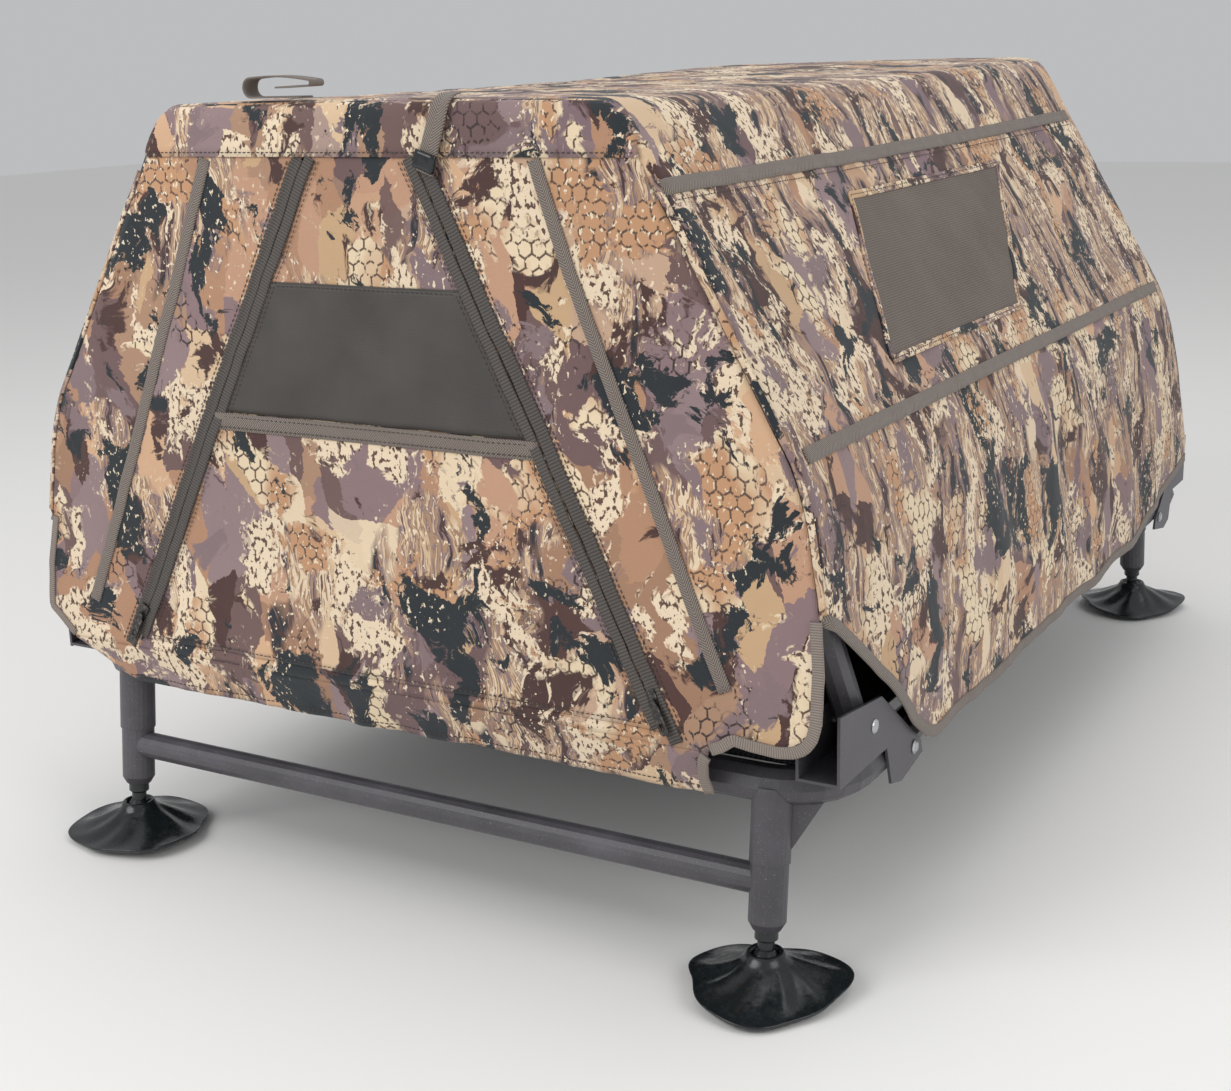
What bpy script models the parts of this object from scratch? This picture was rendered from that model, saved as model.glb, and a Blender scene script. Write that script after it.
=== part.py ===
"""Low ground blind: a steel rail frame on four splayed legs, two folding hoops and a fabric cover.

Metres, +Z up. The origin is on the ground under the stand, and -Y is the front with the zipped door.
"""

from math import asin, atan2, cos, hypot, pi, radians, sin, tan

import bmesh
import bpy
from mathutils import Matrix, Vector

# --- stand: rails and deck ---
GAP = 0.0003
RAIL_RADIUS = 0.01375
RAIL_HALF_WIDTH = 0.3415
RAIL_HALF_LENGTH = 0.491
RAIL_HEIGHT = 0.152
RAIL_BEND = 0.048
DECK_THICKNESS = 0.004
BEARER_RADIUS = 0.0085

# --- legs, measured along the leg from the rail's centreline ---
LEG_HALF_SPACING = 0.300
LEG_SPLAY = radians(6.5)
SOCKET_RADIUS = 0.01475
SOCKET_BORE = 0.0124
SOCKET_END = 0.0557
GUSSET_REACH = 0.027
GUSSET_DROP = 0.047
GUSSET_THICKNESS = 0.006
GUSSET_TURN = radians(25)
LEG_RADIUS = 0.01375
LEG_END = 0.1055
LEG_TAPER = 0.006
SPIGOT_RADIUS = 0.0121
CROSSBAR_DROP = 0.0705
CROSSBAR_RADIUS = 0.011
LEG_TRAVEL = 0.025
BUTTON_RADIUS = 0.003
BUTTON_PROUD = 0.0022
BUTTON_LENGTH = 0.0105
BUTTON_DROP = 0.0250

# --- feet ---
STUD_RADIUS = 0.0085
STUD_GRIP = 0.016
BALL_RADIUS = 0.0105
BALL_HEIGHT = 0.0235
BALL_CLEARANCE = 0.0005
NECK_RADIUS = 0.0062
PAD_RADIUS = 0.0575
PAD_LOBE = 0.0045
PAD_WAVE = 0.0055
PAD_RIM = 0.0055
PAD_CROWN = 0.0315
PAD_BOSS = 0.0150
PAD_FLAT = 0.036

# --- hoop brackets, about the hoop's pivot ---
PIVOT_HEIGHT = 0.190
PIVOT_HALF_SPACING = RAIL_HALF_LENGTH - 0.042
BRACKET_SHEET = 0.0022
BRACKET_SIDE_GAP = 0.003
BRACKET_TOP = 0.0215
BRACKET_TAIL_DROP = 0.061
BRACKET_TAIL_REACH = 0.096
PIN_RADIUS = 0.003
PIN_CLEARANCE = 0.0001
PIN_HEAD_RADIUS = 0.0055
PIN_HEAD = 0.0009
BOLT_BACK = 0.078
BOLT_DROP = 0.043
BOLT_HEAD_RADIUS = 0.0055
BOLT_HEAD = 0.0022

# --- hoops ---
HOOP_RADIUS = 0.011
HOOP_TAIL = 0.009
HOOP_BEND = 0.045
SHOULDER_HALF_WIDTH = 0.3135
SHOULDER_HEIGHT = 0.385
HOOP_TOP_HALF_WIDTH = 0.1890

# --- cover ---
CLOTH = 0.0016
COVER_BOTTOM_HALF_WIDTH = RAIL_HALF_WIDTH + 0.0197
COVER_SHOULDER_HALF_WIDTH = 0.331
COVER_SHOULDER_HEIGHT = 0.385
COVER_TOP_HALF_WIDTH = 0.2185
COVER_TOP_SEAM = 0.582
COVER_EDGE_HALF_WIDTH = 0.189
FRONT_HEIGHT = 0.617
REAR_HEIGHT = 0.632
FRONT_TOP_Y = -RAIL_HALF_LENGTH - 0.0165
FRONT_BOTTOM_Y = -RAIL_HALF_LENGTH - 0.034
REAR_TOP_Y = RAIL_HALF_LENGTH - 0.0635
REAR_BOTTOM_Y = RAIL_HALF_LENGTH - 0.001
WALL_FOOT = 0.1825
ROOF_SEAM = 0.558
SIDE_HEM = 0.146
SKIRT_DROP = 0.036
SKIRT_HALF_WIDTH = 0.266

# --- front door and what is sewn to the front ---
DOOR_OFFSET = -0.012
DOOR_TOP_HALF_WIDTH = 0.051
DOOR_BOTTOM_HALF_WIDTH = 0.249
DOOR_HEAD = 0.578
DOOR_FOOT = 0.192
ZIP_DOOR_MARGIN = 0.005
ZIP_WALL_MARGIN = 0.002
TAPE_WIDTH = 0.009
TRIM_THICKNESS = 0.001
STRAP_WIDTH = 0.0105
PATCH_TOP = 0.488
PATCH_FOOT = 0.386
PATCH_WEBBING = 0.014
TIE_RADIUS = 0.0085
TIE_LENGTH = 0.063
SLIDER_HEIGHT = 0.214
SLIDER_WIDTH = 0.0085
SLIDER_LENGTH = 0.015
SLIDER_THICKNESS = 0.0022
PULL_WIDTH = 0.007
PULL_LENGTH = 0.026
PULL_THICKNESS = 0.0012
PULL_SWING_GAP = 0.0014

SIDES = {"left": -1, "right": 1}
ENDS = {"front": -1, "rear": 1}


# --- collections, materials and small builders ---

for old in list(bpy.data.objects):
    bpy.data.objects.remove(old, do_unlink=True)

parts = bpy.data.collections.new("ground_blind")
cutters = bpy.data.collections.new("cutters")
bpy.context.scene.collection.children.link(parts)
bpy.context.scene.collection.children.link(cutters)


def finish(name, colour, roughness, metallic=0.0):
    """A Principled material of one colour."""
    made = bpy.data.materials.new(name)
    made.use_nodes = True
    shader = made.node_tree.nodes["Principled BSDF"]
    shader.inputs["Base Color"].default_value = (*colour, 1)
    shader.inputs["Roughness"].default_value = roughness
    shader.inputs["Metallic"].default_value = metallic
    return made


powder_coat = finish("powder_coated_steel", (0.065, 0.060, 0.066), 0.42, 0.3)
bare_steel = finish("zinc_plated_steel", (0.55, 0.55, 0.56), 0.35, 1.0)
foot_plastic = finish("glossy_black_plastic", (0.012, 0.016, 0.020), 0.22)
camo_cloth = finish("printed_cover_cloth", (0.33, 0.23, 0.15), 0.85)
window_mesh = finish("window_mesh", (0.18, 0.15, 0.13), 0.8)
webbing = finish("nylon_webbing", (0.16, 0.14, 0.12), 0.8)
zip_tape = finish("zip_tape", (0.10, 0.085, 0.075), 0.75)
zip_metal = finish("zip_slider_metal", (0.20, 0.20, 0.21), 0.4, 0.8)
patch_cloth = finish("patch_cloth", (0.07, 0.062, 0.055), 0.8)
deck_cloth = finish("deck_cloth", (0.05, 0.05, 0.05), 0.85)


def place(body, material, collection=parts):
    """Puts an object in its collection, with its material."""
    collection.objects.link(body)
    if material:
        body.data.materials.append(material)
    if collection is cutters:
        body.hide_render = True
        body.display_type = "WIRE"
    return body


def rounded(corners, bend, steps=6):
    """The points of a path whose inner corners are arcs of that radius."""
    path = [Vector(corners[0])]
    for before, corner, after in zip(corners, corners[1:], corners[2:]):
        corner = Vector(corner)
        back = (Vector(before) - corner).normalized()
        ahead = (Vector(after) - corner).normalized()
        half = back.angle(ahead) / 2
        reach = bend / tan(half)
        centre = corner + (back + ahead).normalized() * bend / sin(half)
        start = corner + back * reach - centre
        end = corner + ahead * reach - centre
        for i in range(steps + 1):
            path.append(centre + start.slerp(end, i / steps).normalized() * bend)
    path.append(Vector(corners[-1]))
    return path


def tube(name, path, radius, material, collection=parts, cyclic=False, resolution=3):
    """A round bar along a path, as a mesh."""
    curve = bpy.data.curves.new(name, "CURVE")
    curve.dimensions = "3D"
    curve.bevel_depth = radius
    curve.bevel_resolution = resolution
    curve.use_fill_caps = True
    spline = curve.splines.new("POLY")
    spline.points.add(len(path) - 1)
    for point, at in zip(spline.points, path):
        point.co = (*at, 1)
    spline.use_cyclic_u = cyclic
    return solid_of(bpy.data.objects.new(name + "_curve", curve), name, material, collection)


def solid_of(curve_object, name, material, collection=parts):
    """The mesh of a curve object, with its caps welded, in place of the curve."""
    bpy.context.scene.collection.objects.link(curve_object)
    graph = bpy.context.evaluated_depsgraph_get()
    mesh = bpy.data.meshes.new_from_object(curve_object.evaluated_get(graph))
    weld(mesh)
    body = bpy.data.objects.new(name, mesh)
    body.matrix_world = curve_object.matrix_world
    bpy.data.objects.remove(curve_object, do_unlink=True)
    mesh.materials.clear()
    mesh.shade_smooth()
    mesh.set_sharp_from_angle(angle=radians(40))
    return place(body, material, collection)


def weld(mesh):
    bm = bmesh.new()
    bm.from_mesh(mesh)
    bmesh.ops.remove_doubles(bm, verts=bm.verts, dist=0.00001)
    bmesh.ops.recalc_face_normals(bm, faces=bm.faces)
    bm.to_mesh(mesh)
    bm.free()


def plate(name, outlines, thickness, material, collection=parts):
    """A flat sheet in its own XY plane, from z = 0 to its thickness. Outlines inside others are holes."""
    curve = bpy.data.curves.new(name, "CURVE")
    curve.dimensions = "2D"
    curve.fill_mode = "BOTH"
    curve.extrude = thickness / 2
    for outline in outlines:
        spline = curve.splines.new("POLY")
        spline.points.add(len(outline) - 1)
        for point, (x, y) in zip(spline.points, outline):
            point.co = (x, y, 0, 1)
        spline.use_cyclic_u = True
    body = solid_of(bpy.data.objects.new(name + "_curve", curve), name, material, collection)
    body.data.transform(Matrix.Translation((0, 0, thickness / 2)))
    return body


def turned(name, profile, material, collection=parts, sides=24):
    """A body turned about its own Z axis. The profile runs down its outer side, from the axis to the axis."""
    mesh = bpy.data.meshes.new(name)
    bm = bmesh.new()
    points = [bm.verts.new((r, 0, z)) for r, z in profile]
    for upper, lower in zip(points, points[1:]):
        bm.edges.new((upper, lower))
    bm.to_mesh(mesh)
    bm.free()
    body = bpy.data.objects.new(name, mesh)
    screw = body.modifiers.new("turn", "SCREW")
    screw.steps = sides
    screw.render_steps = sides
    screw.use_merge_vertices = True
    screw.merge_threshold = 0.00001
    screw.use_smooth_shade = False
    return place(body, material, collection)


def rod(name, radius, length, collection=cutters, material=None, sides=20):
    """A cylinder along its own Z axis, centred on its origin."""
    mesh = bpy.data.meshes.new(name)
    bm = bmesh.new()
    bmesh.ops.create_cone(
        bm, cap_ends=True, segments=sides, radius1=radius, radius2=radius, depth=length
    )
    bm.to_mesh(mesh)
    bm.free()
    return place(bpy.data.objects.new(name, mesh), material, collection)


def block(name, low, high, collection=cutters, material=None):
    """A box between two corners."""
    mesh = bpy.data.meshes.new(name)
    bm = bmesh.new()
    size = Vector(map(abs, Vector(high) - Vector(low)))
    middle = (Vector(high) + Vector(low)) / 2
    placed = Matrix.Translation(middle) @ Matrix.Diagonal((*size, 1))
    bmesh.ops.create_cube(bm, size=1, matrix=placed)
    bm.to_mesh(mesh)
    bm.free()
    return place(bpy.data.objects.new(name, mesh), material, collection)


def combine(body, other, operation):
    boolean = body.modifiers.new(operation.lower(), "BOOLEAN")
    boolean.operation = operation
    boolean.object = other
    return body


def across(body, at, turn=0.0):
    """Lays a body's own Z axis along world X, at a place."""
    body.matrix_world = Matrix.Translation(at) @ Matrix.Rotation(pi / 2 + turn, 4, "Y")
    return body


def remap(body, matrix):
    """Moves a body's mesh by a matrix, and keeps its faces pointing out where the matrix mirrors it."""
    body.data.transform(matrix)
    if matrix.determinant() < 0:
        body.data.flip_normals()


def corner_name(end, side):
    return f"{end}_{side}"


# --- rail frame, bearer and deck ---

rail_corners = [
    (0, -RAIL_HALF_LENGTH, RAIL_HEIGHT),
    (RAIL_HALF_WIDTH, -RAIL_HALF_LENGTH, RAIL_HEIGHT),
    (RAIL_HALF_WIDTH, RAIL_HALF_LENGTH, RAIL_HEIGHT),
    (-RAIL_HALF_WIDTH, RAIL_HALF_LENGTH, RAIL_HEIGHT),
    (-RAIL_HALF_WIDTH, -RAIL_HALF_LENGTH, RAIL_HEIGHT),
    (0, -RAIL_HALF_LENGTH, RAIL_HEIGHT),
]
rail_path = rounded(rail_corners, RAIL_BEND)[:-1]
rail_frame = tube("rail_frame", rail_path, RAIL_RADIUS, powder_coat, cyclic=True)
rail_clearance = tube(
    "rail_clearance", rail_path, RAIL_RADIUS + GAP, None, collection=cutters, cyclic=True
)

bearer = tube(
    "deck_bearer",
    [(-RAIL_HALF_WIDTH, 0, RAIL_HEIGHT - GAP), (RAIL_HALF_WIDTH, 0, RAIL_HEIGHT - GAP)],
    BEARER_RADIUS,
    powder_coat,
)
combine(bearer, rail_clearance, "DIFFERENCE")
bearer_ends = block(
    "bearer_ends",
    (-RAIL_HALF_WIDTH, -BEARER_RADIUS * 2, RAIL_HEIGHT - BEARER_RADIUS * 2),
    (RAIL_HALF_WIDTH, BEARER_RADIUS * 2, RAIL_HEIGHT + BEARER_RADIUS * 2),
)
combine(bearer, bearer_ends, "INTERSECT")

DECK_HALF_WIDTH = RAIL_HALF_WIDTH - HOOP_RADIUS - BRACKET_SIDE_GAP - BRACKET_SHEET - BOLT_HEAD - 2 * GAP
DECK_HALF_LENGTH = RAIL_HALF_LENGTH - RAIL_RADIUS - GAP
DECK_BOTTOM = RAIL_HEIGHT + BEARER_RADIUS
deck_corner = RAIL_BEND - RAIL_RADIUS
deck_outline = rounded(
    [
        (0, -DECK_HALF_LENGTH, 0),
        (DECK_HALF_WIDTH, -DECK_HALF_LENGTH, 0),
        (DECK_HALF_WIDTH, DECK_HALF_LENGTH, 0),
        (-DECK_HALF_WIDTH, DECK_HALF_LENGTH, 0),
        (-DECK_HALF_WIDTH, -DECK_HALF_LENGTH, 0),
        (0, -DECK_HALF_LENGTH, 0),
    ],
    deck_corner,
)[:-1]
deck = plate("deck", [[point.xy for point in deck_outline]], DECK_THICKNESS, deck_cloth)
deck.location.z = DECK_BOTTOM


# --- legs: sockets, leg frames, snap buttons, feet ---


def leg_frame_matrix(end, x=0.0):
    """The leg's own frame: origin on the rail's centreline, -Z down the splayed leg."""
    at = Matrix.Translation((x, ENDS[end] * RAIL_HALF_LENGTH, RAIL_HEIGHT))
    return at @ Matrix.Rotation(ENDS[end] * LEG_SPLAY, 4, "X")


def make_socket(end, side):
    """The short tube under the rail that holds the leg, with its gusset, bore and button slot."""
    name = corner_name(end, side)
    frame = leg_frame_matrix(end, SIDES[side] * LEG_HALF_SPACING)
    profile = [(0, 0), (SOCKET_RADIUS, 0), (SOCKET_RADIUS, -SOCKET_END), (0, -SOCKET_END)]
    socket = turned(f"leg_socket_{name}", profile, powder_coat)
    socket.matrix_world = frame
    gusset = plate(
        f"gusset_{name}",
        [
            [
                (0.004, 0),
                (SOCKET_RADIUS + GUSSET_REACH, 0),
                (SOCKET_RADIUS - 0.001, -GUSSET_DROP),
                (0.004, -GUSSET_DROP),
            ]
        ],
        GUSSET_THICKNESS,
        None,
        cutters,
    )
    outward = GUSSET_TURN if end == "front" else -GUSSET_TURN
    if side == "left":
        outward = pi - outward
    upright = Matrix.Translation((0, GUSSET_THICKNESS / 2, 0)) @ Matrix.Rotation(pi / 2, 4, "X")
    gusset.matrix_world = frame @ Matrix.Rotation(outward, 4, "Z") @ upright
    combine(socket, gusset, "UNION")
    bore = rod(f"bore_{name}", SOCKET_BORE, 4 * SOCKET_END)
    bore.matrix_world = frame
    combine(socket, bore, "DIFFERENCE")
    combine(socket, rail_clearance, "DIFFERENCE")
    slot_radius = BUTTON_RADIUS + GAP
    inward = -ENDS[end]
    slot = block(
        f"slot_{name}",
        (-slot_radius, 0, -BUTTON_DROP - LEG_TRAVEL - slot_radius),
        (slot_radius, inward * 2 * SOCKET_RADIUS, -BUTTON_DROP + slot_radius),
    )
    slot.matrix_world = frame
    combine(socket, slot, "DIFFERENCE")
    return socket


def make_leg_frame(end):
    """Both legs of one end with their spigots and the crossbar, welded into one."""
    frame = leg_frame_matrix(end)
    shoulder = -SOCKET_END - GAP
    crossbar = rod(
        f"{end}_leg_frame", CROSSBAR_RADIUS, 2 * LEG_HALF_SPACING, parts, powder_coat, sides=16
    )
    crossbar.matrix_world = (
        frame @ Matrix.Translation((0, 0, -CROSSBAR_DROP)) @ Matrix.Rotation(pi / 2, 4, "Y")
    )
    profile = [
        (0, -RAIL_RADIUS - 4 * GAP),
        (SPIGOT_RADIUS, -RAIL_RADIUS - 4 * GAP),
        (SPIGOT_RADIUS, shoulder),
        (LEG_RADIUS, shoulder),
        (LEG_RADIUS, -LEG_END + LEG_TAPER),
        (STUD_RADIUS + 0.0018, -LEG_END),
        (0, -LEG_END),
    ]
    for side, sign in SIDES.items():
        name = corner_name(end, side)
        placed = leg_frame_matrix(end, sign * LEG_HALF_SPACING)
        core = turned(f"leg_core_{name}", profile, None, cutters, sides=20)
        core.matrix_world = placed
        combine(crossbar, core, "UNION")
    for side, sign in SIDES.items():
        name = corner_name(end, side)
        placed = leg_frame_matrix(end, sign * LEG_HALF_SPACING)
        stud_bore = rod(f"stud_bore_{name}", STUD_RADIUS + GAP, 2 * STUD_GRIP + 2 * GAP, sides=16)
        stud_bore.matrix_world = placed @ Matrix.Translation((0, 0, -LEG_END))
        combine(crossbar, stud_bore, "DIFFERENCE")
        pocket = rod(f"button_pocket_{name}", BUTTON_RADIUS + GAP, 2 * SPIGOT_RADIUS, sides=16)
        inward = -ENDS[end] * (SPIGOT_RADIUS + 0.0006)
        pocket.matrix_world = (
            placed @ Matrix.Translation((0, inward, -BUTTON_DROP)) @ Matrix.Rotation(pi / 2, 4, "X")
        )
        combine(crossbar, pocket, "DIFFERENCE")
    return crossbar


def make_button(end, side):
    """The sprung button that stands through the socket's slot."""
    placed = leg_frame_matrix(end, SIDES[side] * LEG_HALF_SPACING)
    head = SOCKET_RADIUS + BUTTON_PROUD
    profile = [
        (0, head),
        (BUTTON_RADIUS * 0.6, head),
        (BUTTON_RADIUS, head - 0.0012),
        (BUTTON_RADIUS, head - BUTTON_LENGTH),
        (0, head - BUTTON_LENGTH),
    ]
    button = turned(f"snap_button_{corner_name(end, side)}", profile, bare_steel, sides=12)
    aim = Matrix.Rotation(ENDS[end] * pi / 2, 4, "X")
    button.matrix_world = placed @ Matrix.Translation((0, 0, -BUTTON_DROP)) @ aim
    return button


BALL_DROP = (RAIL_HEIGHT - BALL_HEIGHT) / cos(LEG_SPLAY)
BALL_Y = RAIL_HALF_LENGTH + BALL_DROP * sin(LEG_SPLAY)


def make_stud(end, side):
    """The post pressed into the leg, with the ball that the foot swivels on."""
    placed = leg_frame_matrix(end, SIDES[side] * LEG_HALF_SPACING)
    neck_angle = asin(NECK_RADIUS / BALL_RADIUS)
    steps = 7
    ball = []
    for i in range(steps + 1):
        angle = neck_angle + (pi - neck_angle) * i / steps
        ball.append((BALL_RADIUS * sin(angle), -BALL_DROP + BALL_RADIUS * cos(angle)))
    neck_top = -LEG_END - 0.0070
    profile = [
        (0, -LEG_END + STUD_GRIP),
        (STUD_RADIUS, -LEG_END + STUD_GRIP),
        (STUD_RADIUS, neck_top),
        (NECK_RADIUS, neck_top - 0.0018),
        *ball[:-1],
        (0, -BALL_DROP - BALL_RADIUS),
    ]
    stud = turned(f"foot_stud_{corner_name(end, side)}", profile, foot_plastic, sides=20)
    stud.matrix_world = placed
    return stud


def pad_mesh():
    """A lobed, saddle-shaped foot pad with a boss over the ball and a flat underside."""
    around = 36
    outer_rings = [0.0, 0.12, 0.30, 0.55, 0.80, 1.0]
    bm = bmesh.new()

    def rim(angle):
        return PAD_RADIUS + PAD_LOBE * cos(3 * angle)

    def ring(radius_of, height_of):
        made = []
        for i in range(around):
            angle = 2 * pi * i / around
            r = radius_of(angle)
            made.append(bm.verts.new((r * cos(angle), r * sin(angle), height_of(angle))))
        return made

    def top_height(share):
        slope = (1 - share) ** 1.35
        return lambda angle: (
            PAD_RIM + (PAD_CROWN - PAD_RIM) * slope * 0.80 + PAD_WAVE * share**2 * (1 + cos(2 * angle)) / 2
        )

    rings = [ring(lambda a: PAD_BOSS * 0.80, lambda a: PAD_CROWN)]
    rings.append(ring(lambda a: PAD_BOSS, lambda a: PAD_CROWN - 0.004))
    for share in outer_rings[1:]:
        rings.append(
            ring(lambda a, s=share: PAD_BOSS + (rim(a) - PAD_BOSS) * s, top_height(share))
        )
    rings.append(
        ring(
            lambda a: rim(a) - 0.001,
            lambda a: 0.0012 + PAD_WAVE * (1 + cos(2 * a)) / 2,
        )
    )
    rings.append(ring(lambda a: PAD_FLAT, lambda a: 0.0))
    for upper, lower in zip(rings, rings[1:]):
        for i in range(around):
            j = (i + 1) % around
            bm.faces.new((upper[i], lower[i], lower[j], upper[j]))
    bm.faces.new(rings[0])
    bm.faces.new(list(reversed(rings[-1])))
    bmesh.ops.recalc_face_normals(bm, faces=bm.faces)
    mesh = bpy.data.meshes.new("foot_pad")
    bm.to_mesh(mesh)
    bm.free()
    return mesh


def make_pad(end, side, mesh):
    """The foot pad, with a round socket for the ball and a wide mouth for the neck."""
    name = corner_name(end, side)
    pad = place(bpy.data.objects.new(f"foot_pad_{name}", mesh.copy()), foot_plastic)
    pad.data.transform(Matrix.Rotation(radians(35) * SIDES[side], 4, "Z"))
    pad.data.transform(Matrix.Translation((0, 0, -BALL_HEIGHT)))
    centre = (SIDES[side] * LEG_HALF_SPACING, ENDS[end] * BALL_Y, BALL_HEIGHT)
    pad.location = centre
    reach = BALL_RADIUS + BALL_CLEARANCE
    mouth = NECK_RADIUS + 0.0062
    above = PAD_CROWN - BALL_HEIGHT + 0.004
    steps = 8
    start = asin(mouth * 0.72 / reach)
    angles = [start + (pi - start) * i / steps for i in range(steps)]
    cup = [(reach * sin(angle), reach * cos(angle)) for angle in angles]
    profile = [(0, above), (mouth, above), *cup, (0, -reach)]
    socket = turned(f"ball_socket_{name}", profile, None, cutters, sides=20)
    socket.location = centre
    combine(pad, socket, "DIFFERENCE")
    return pad


pad_shape = pad_mesh()
for end in ENDS:
    make_leg_frame(end)
    for side in SIDES:
        make_socket(end, side)
        make_button(end, side)
        make_stud(end, side)
        make_pad(end, side, pad_shape)


# --- hoop brackets, pivot pins and bracket bolts ---

OUTER_FLANGE = RAIL_RADIUS + GAP
INNER_FLANGE = HOOP_RADIUS + BRACKET_SIDE_GAP
WEB_HEIGHT = RAIL_HEIGHT + RAIL_RADIUS + GAP - PIVOT_HEIGHT
BRACKET_END_REACH = {"front": 0.061, "rear": 0.030}


def make_bracket(end, side):
    """The folded channel that stands on the side rail, with a tail bolted to the rail's outer face."""
    name = corner_name(end, side)
    sign, inward = SIDES[side], -ENDS[end]
    pivot = Vector((sign * RAIL_HALF_WIDTH, -inward * PIVOT_HALF_SPACING, PIVOT_HEIGHT))
    reach = BRACKET_END_REACH[end]
    beyond = 0.010
    folded = [
        (-INNER_FLANGE - BRACKET_SHEET, WEB_HEIGHT),
        (OUTER_FLANGE, WEB_HEIGHT),
        (OUTER_FLANGE, -BRACKET_TAIL_DROP - beyond),
        (OUTER_FLANGE + BRACKET_SHEET, -BRACKET_TAIL_DROP - beyond),
        (OUTER_FLANGE + BRACKET_SHEET, BRACKET_TOP + 2 * beyond),
        (OUTER_FLANGE, BRACKET_TOP + 2 * beyond),
        (OUTER_FLANGE, WEB_HEIGHT + BRACKET_SHEET),
        (-INNER_FLANGE, WEB_HEIGHT + BRACKET_SHEET),
        (-INNER_FLANGE, BRACKET_TOP - 0.0055),
        (-INNER_FLANGE - BRACKET_SHEET, BRACKET_TOP - 0.0055),
    ]
    length = reach + BRACKET_TAIL_REACH + 2 * beyond
    bracket = plate(f"hoop_bracket_{name}", [folded], length, powder_coat)
    lengthways = Matrix(((sign, 0, 0, 0), (0, 0, inward, 0), (0, 1, 0, 0), (0, 0, 0, 1)))
    remap(bracket, lengthways @ Matrix.Translation((0, 0, -reach - beyond)))
    bracket.location = pivot
    outline = [
        (-reach, WEB_HEIGHT - 0.001),
        (-reach, BRACKET_TOP + 0.005),
        (0.013, BRACKET_TOP - 0.004),
        (BRACKET_TAIL_REACH - 0.004, -0.042),
        (BRACKET_TAIL_REACH, -0.053),
        (0.054, -BRACKET_TAIL_DROP),
        (0.034, -BRACKET_TAIL_DROP + 0.005),
        (0.024, WEB_HEIGHT - 0.001),
    ]
    side_cut = plate(f"bracket_outline_{name}", [outline], 0.060, None, cutters)
    sideways = Matrix(((0, 0, 1, 0), (inward, 0, 0, 0), (0, 1, 0, 0), (0, 0, 0, 1)))
    remap(side_cut, sideways @ Matrix.Translation((0, 0, -0.030)))
    side_cut.location = pivot
    combine(bracket, side_cut, "INTERSECT")
    pin_hole = rod(f"bracket_pin_hole_{name}", PIN_RADIUS + PIN_CLEARANCE, 0.08, sides=16)
    across(pin_hole, pivot)
    combine(bracket, pin_hole, "DIFFERENCE")
    bolt_at = pivot + Vector((sign * OUTER_FLANGE, inward * BOLT_BACK, -BOLT_DROP))
    bolt_hole = rod(f"bracket_bolt_hole_{name}", PIN_RADIUS + PIN_CLEARANCE, 0.02, sides=16)
    across(bolt_hole, bolt_at)
    combine(bracket, bolt_hole, "DIFFERENCE")
    return pivot, bolt_at


def make_pin(name, pivot, sign):
    """The pivot pin through both flanges and the hoop, with a thin head at each end."""
    outer = OUTER_FLANGE + BRACKET_SHEET + GAP
    inner = INNER_FLANGE + BRACKET_SHEET + GAP
    profile = [
        (0, outer + PIN_HEAD),
        (PIN_HEAD_RADIUS - PIN_HEAD, outer + PIN_HEAD),
        (PIN_HEAD_RADIUS, outer),
        (PIN_RADIUS, outer),
        (PIN_RADIUS, -inner),
        (PIN_HEAD_RADIUS, -inner),
        (PIN_HEAD_RADIUS - PIN_HEAD, -inner - PIN_HEAD),
        (0, -inner - PIN_HEAD),
    ]
    pin = turned(f"hoop_pin_{name}", profile, powder_coat, sides=16)
    pin.matrix_world = Matrix.Translation(pivot) @ Matrix.Rotation(sign * pi / 2, 4, "Y")
    return pin


def make_bolt(name, bolt_at, sign):
    """The button-head bolt that holds the bracket's tail to the rail."""
    seat = BRACKET_SHEET + GAP
    profile = [
        (0, seat + BOLT_HEAD),
        (BOLT_HEAD_RADIUS * 0.6, seat + BOLT_HEAD),
        (BOLT_HEAD_RADIUS, seat + 0.0006),
        (BOLT_HEAD_RADIUS, seat),
        (PIN_RADIUS, seat),
        (PIN_RADIUS, -0.004),
        (0, -0.004),
    ]
    bolt = turned(f"bracket_bolt_{name}", profile, bare_steel, sides=16)
    bolt.matrix_world = Matrix.Translation(bolt_at) @ Matrix.Rotation(sign * pi / 2, 4, "Y")
    return bolt


rail_bolt_holes = []
for end in ENDS:
    for side, sign in SIDES.items():
        name = corner_name(end, side)
        pivot, bolt_at = make_bracket(end, side)
        make_pin(name, pivot, sign)
        make_bolt(name, bolt_at, sign)
        hole = rod(f"rail_bolt_hole_{name}", PIN_RADIUS + PIN_CLEARANCE, 0.012, sides=16)
        across(hole, bolt_at)
        combine(rail_frame, hole, "DIFFERENCE")


# --- hoops ---


def front_plane_y(z):
    """The front cover's outer face at a height."""
    return FRONT_TOP_Y + (FRONT_HEIGHT - z) * (FRONT_BOTTOM_Y - FRONT_TOP_Y) / (FRONT_HEIGHT - WALL_FOOT)


def rear_plane_y(z):
    """The rear cover's outer face at a height."""
    return REAR_TOP_Y + (REAR_HEIGHT - z) * (REAR_BOTTOM_Y - REAR_TOP_Y) / (REAR_HEIGHT - WALL_FOOT)


HOOP_TOP_DROP = CLOTH + HOOP_RADIUS + 0.0030
HOOP_BACK = CLOTH + HOOP_RADIUS + 0.0009


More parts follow.
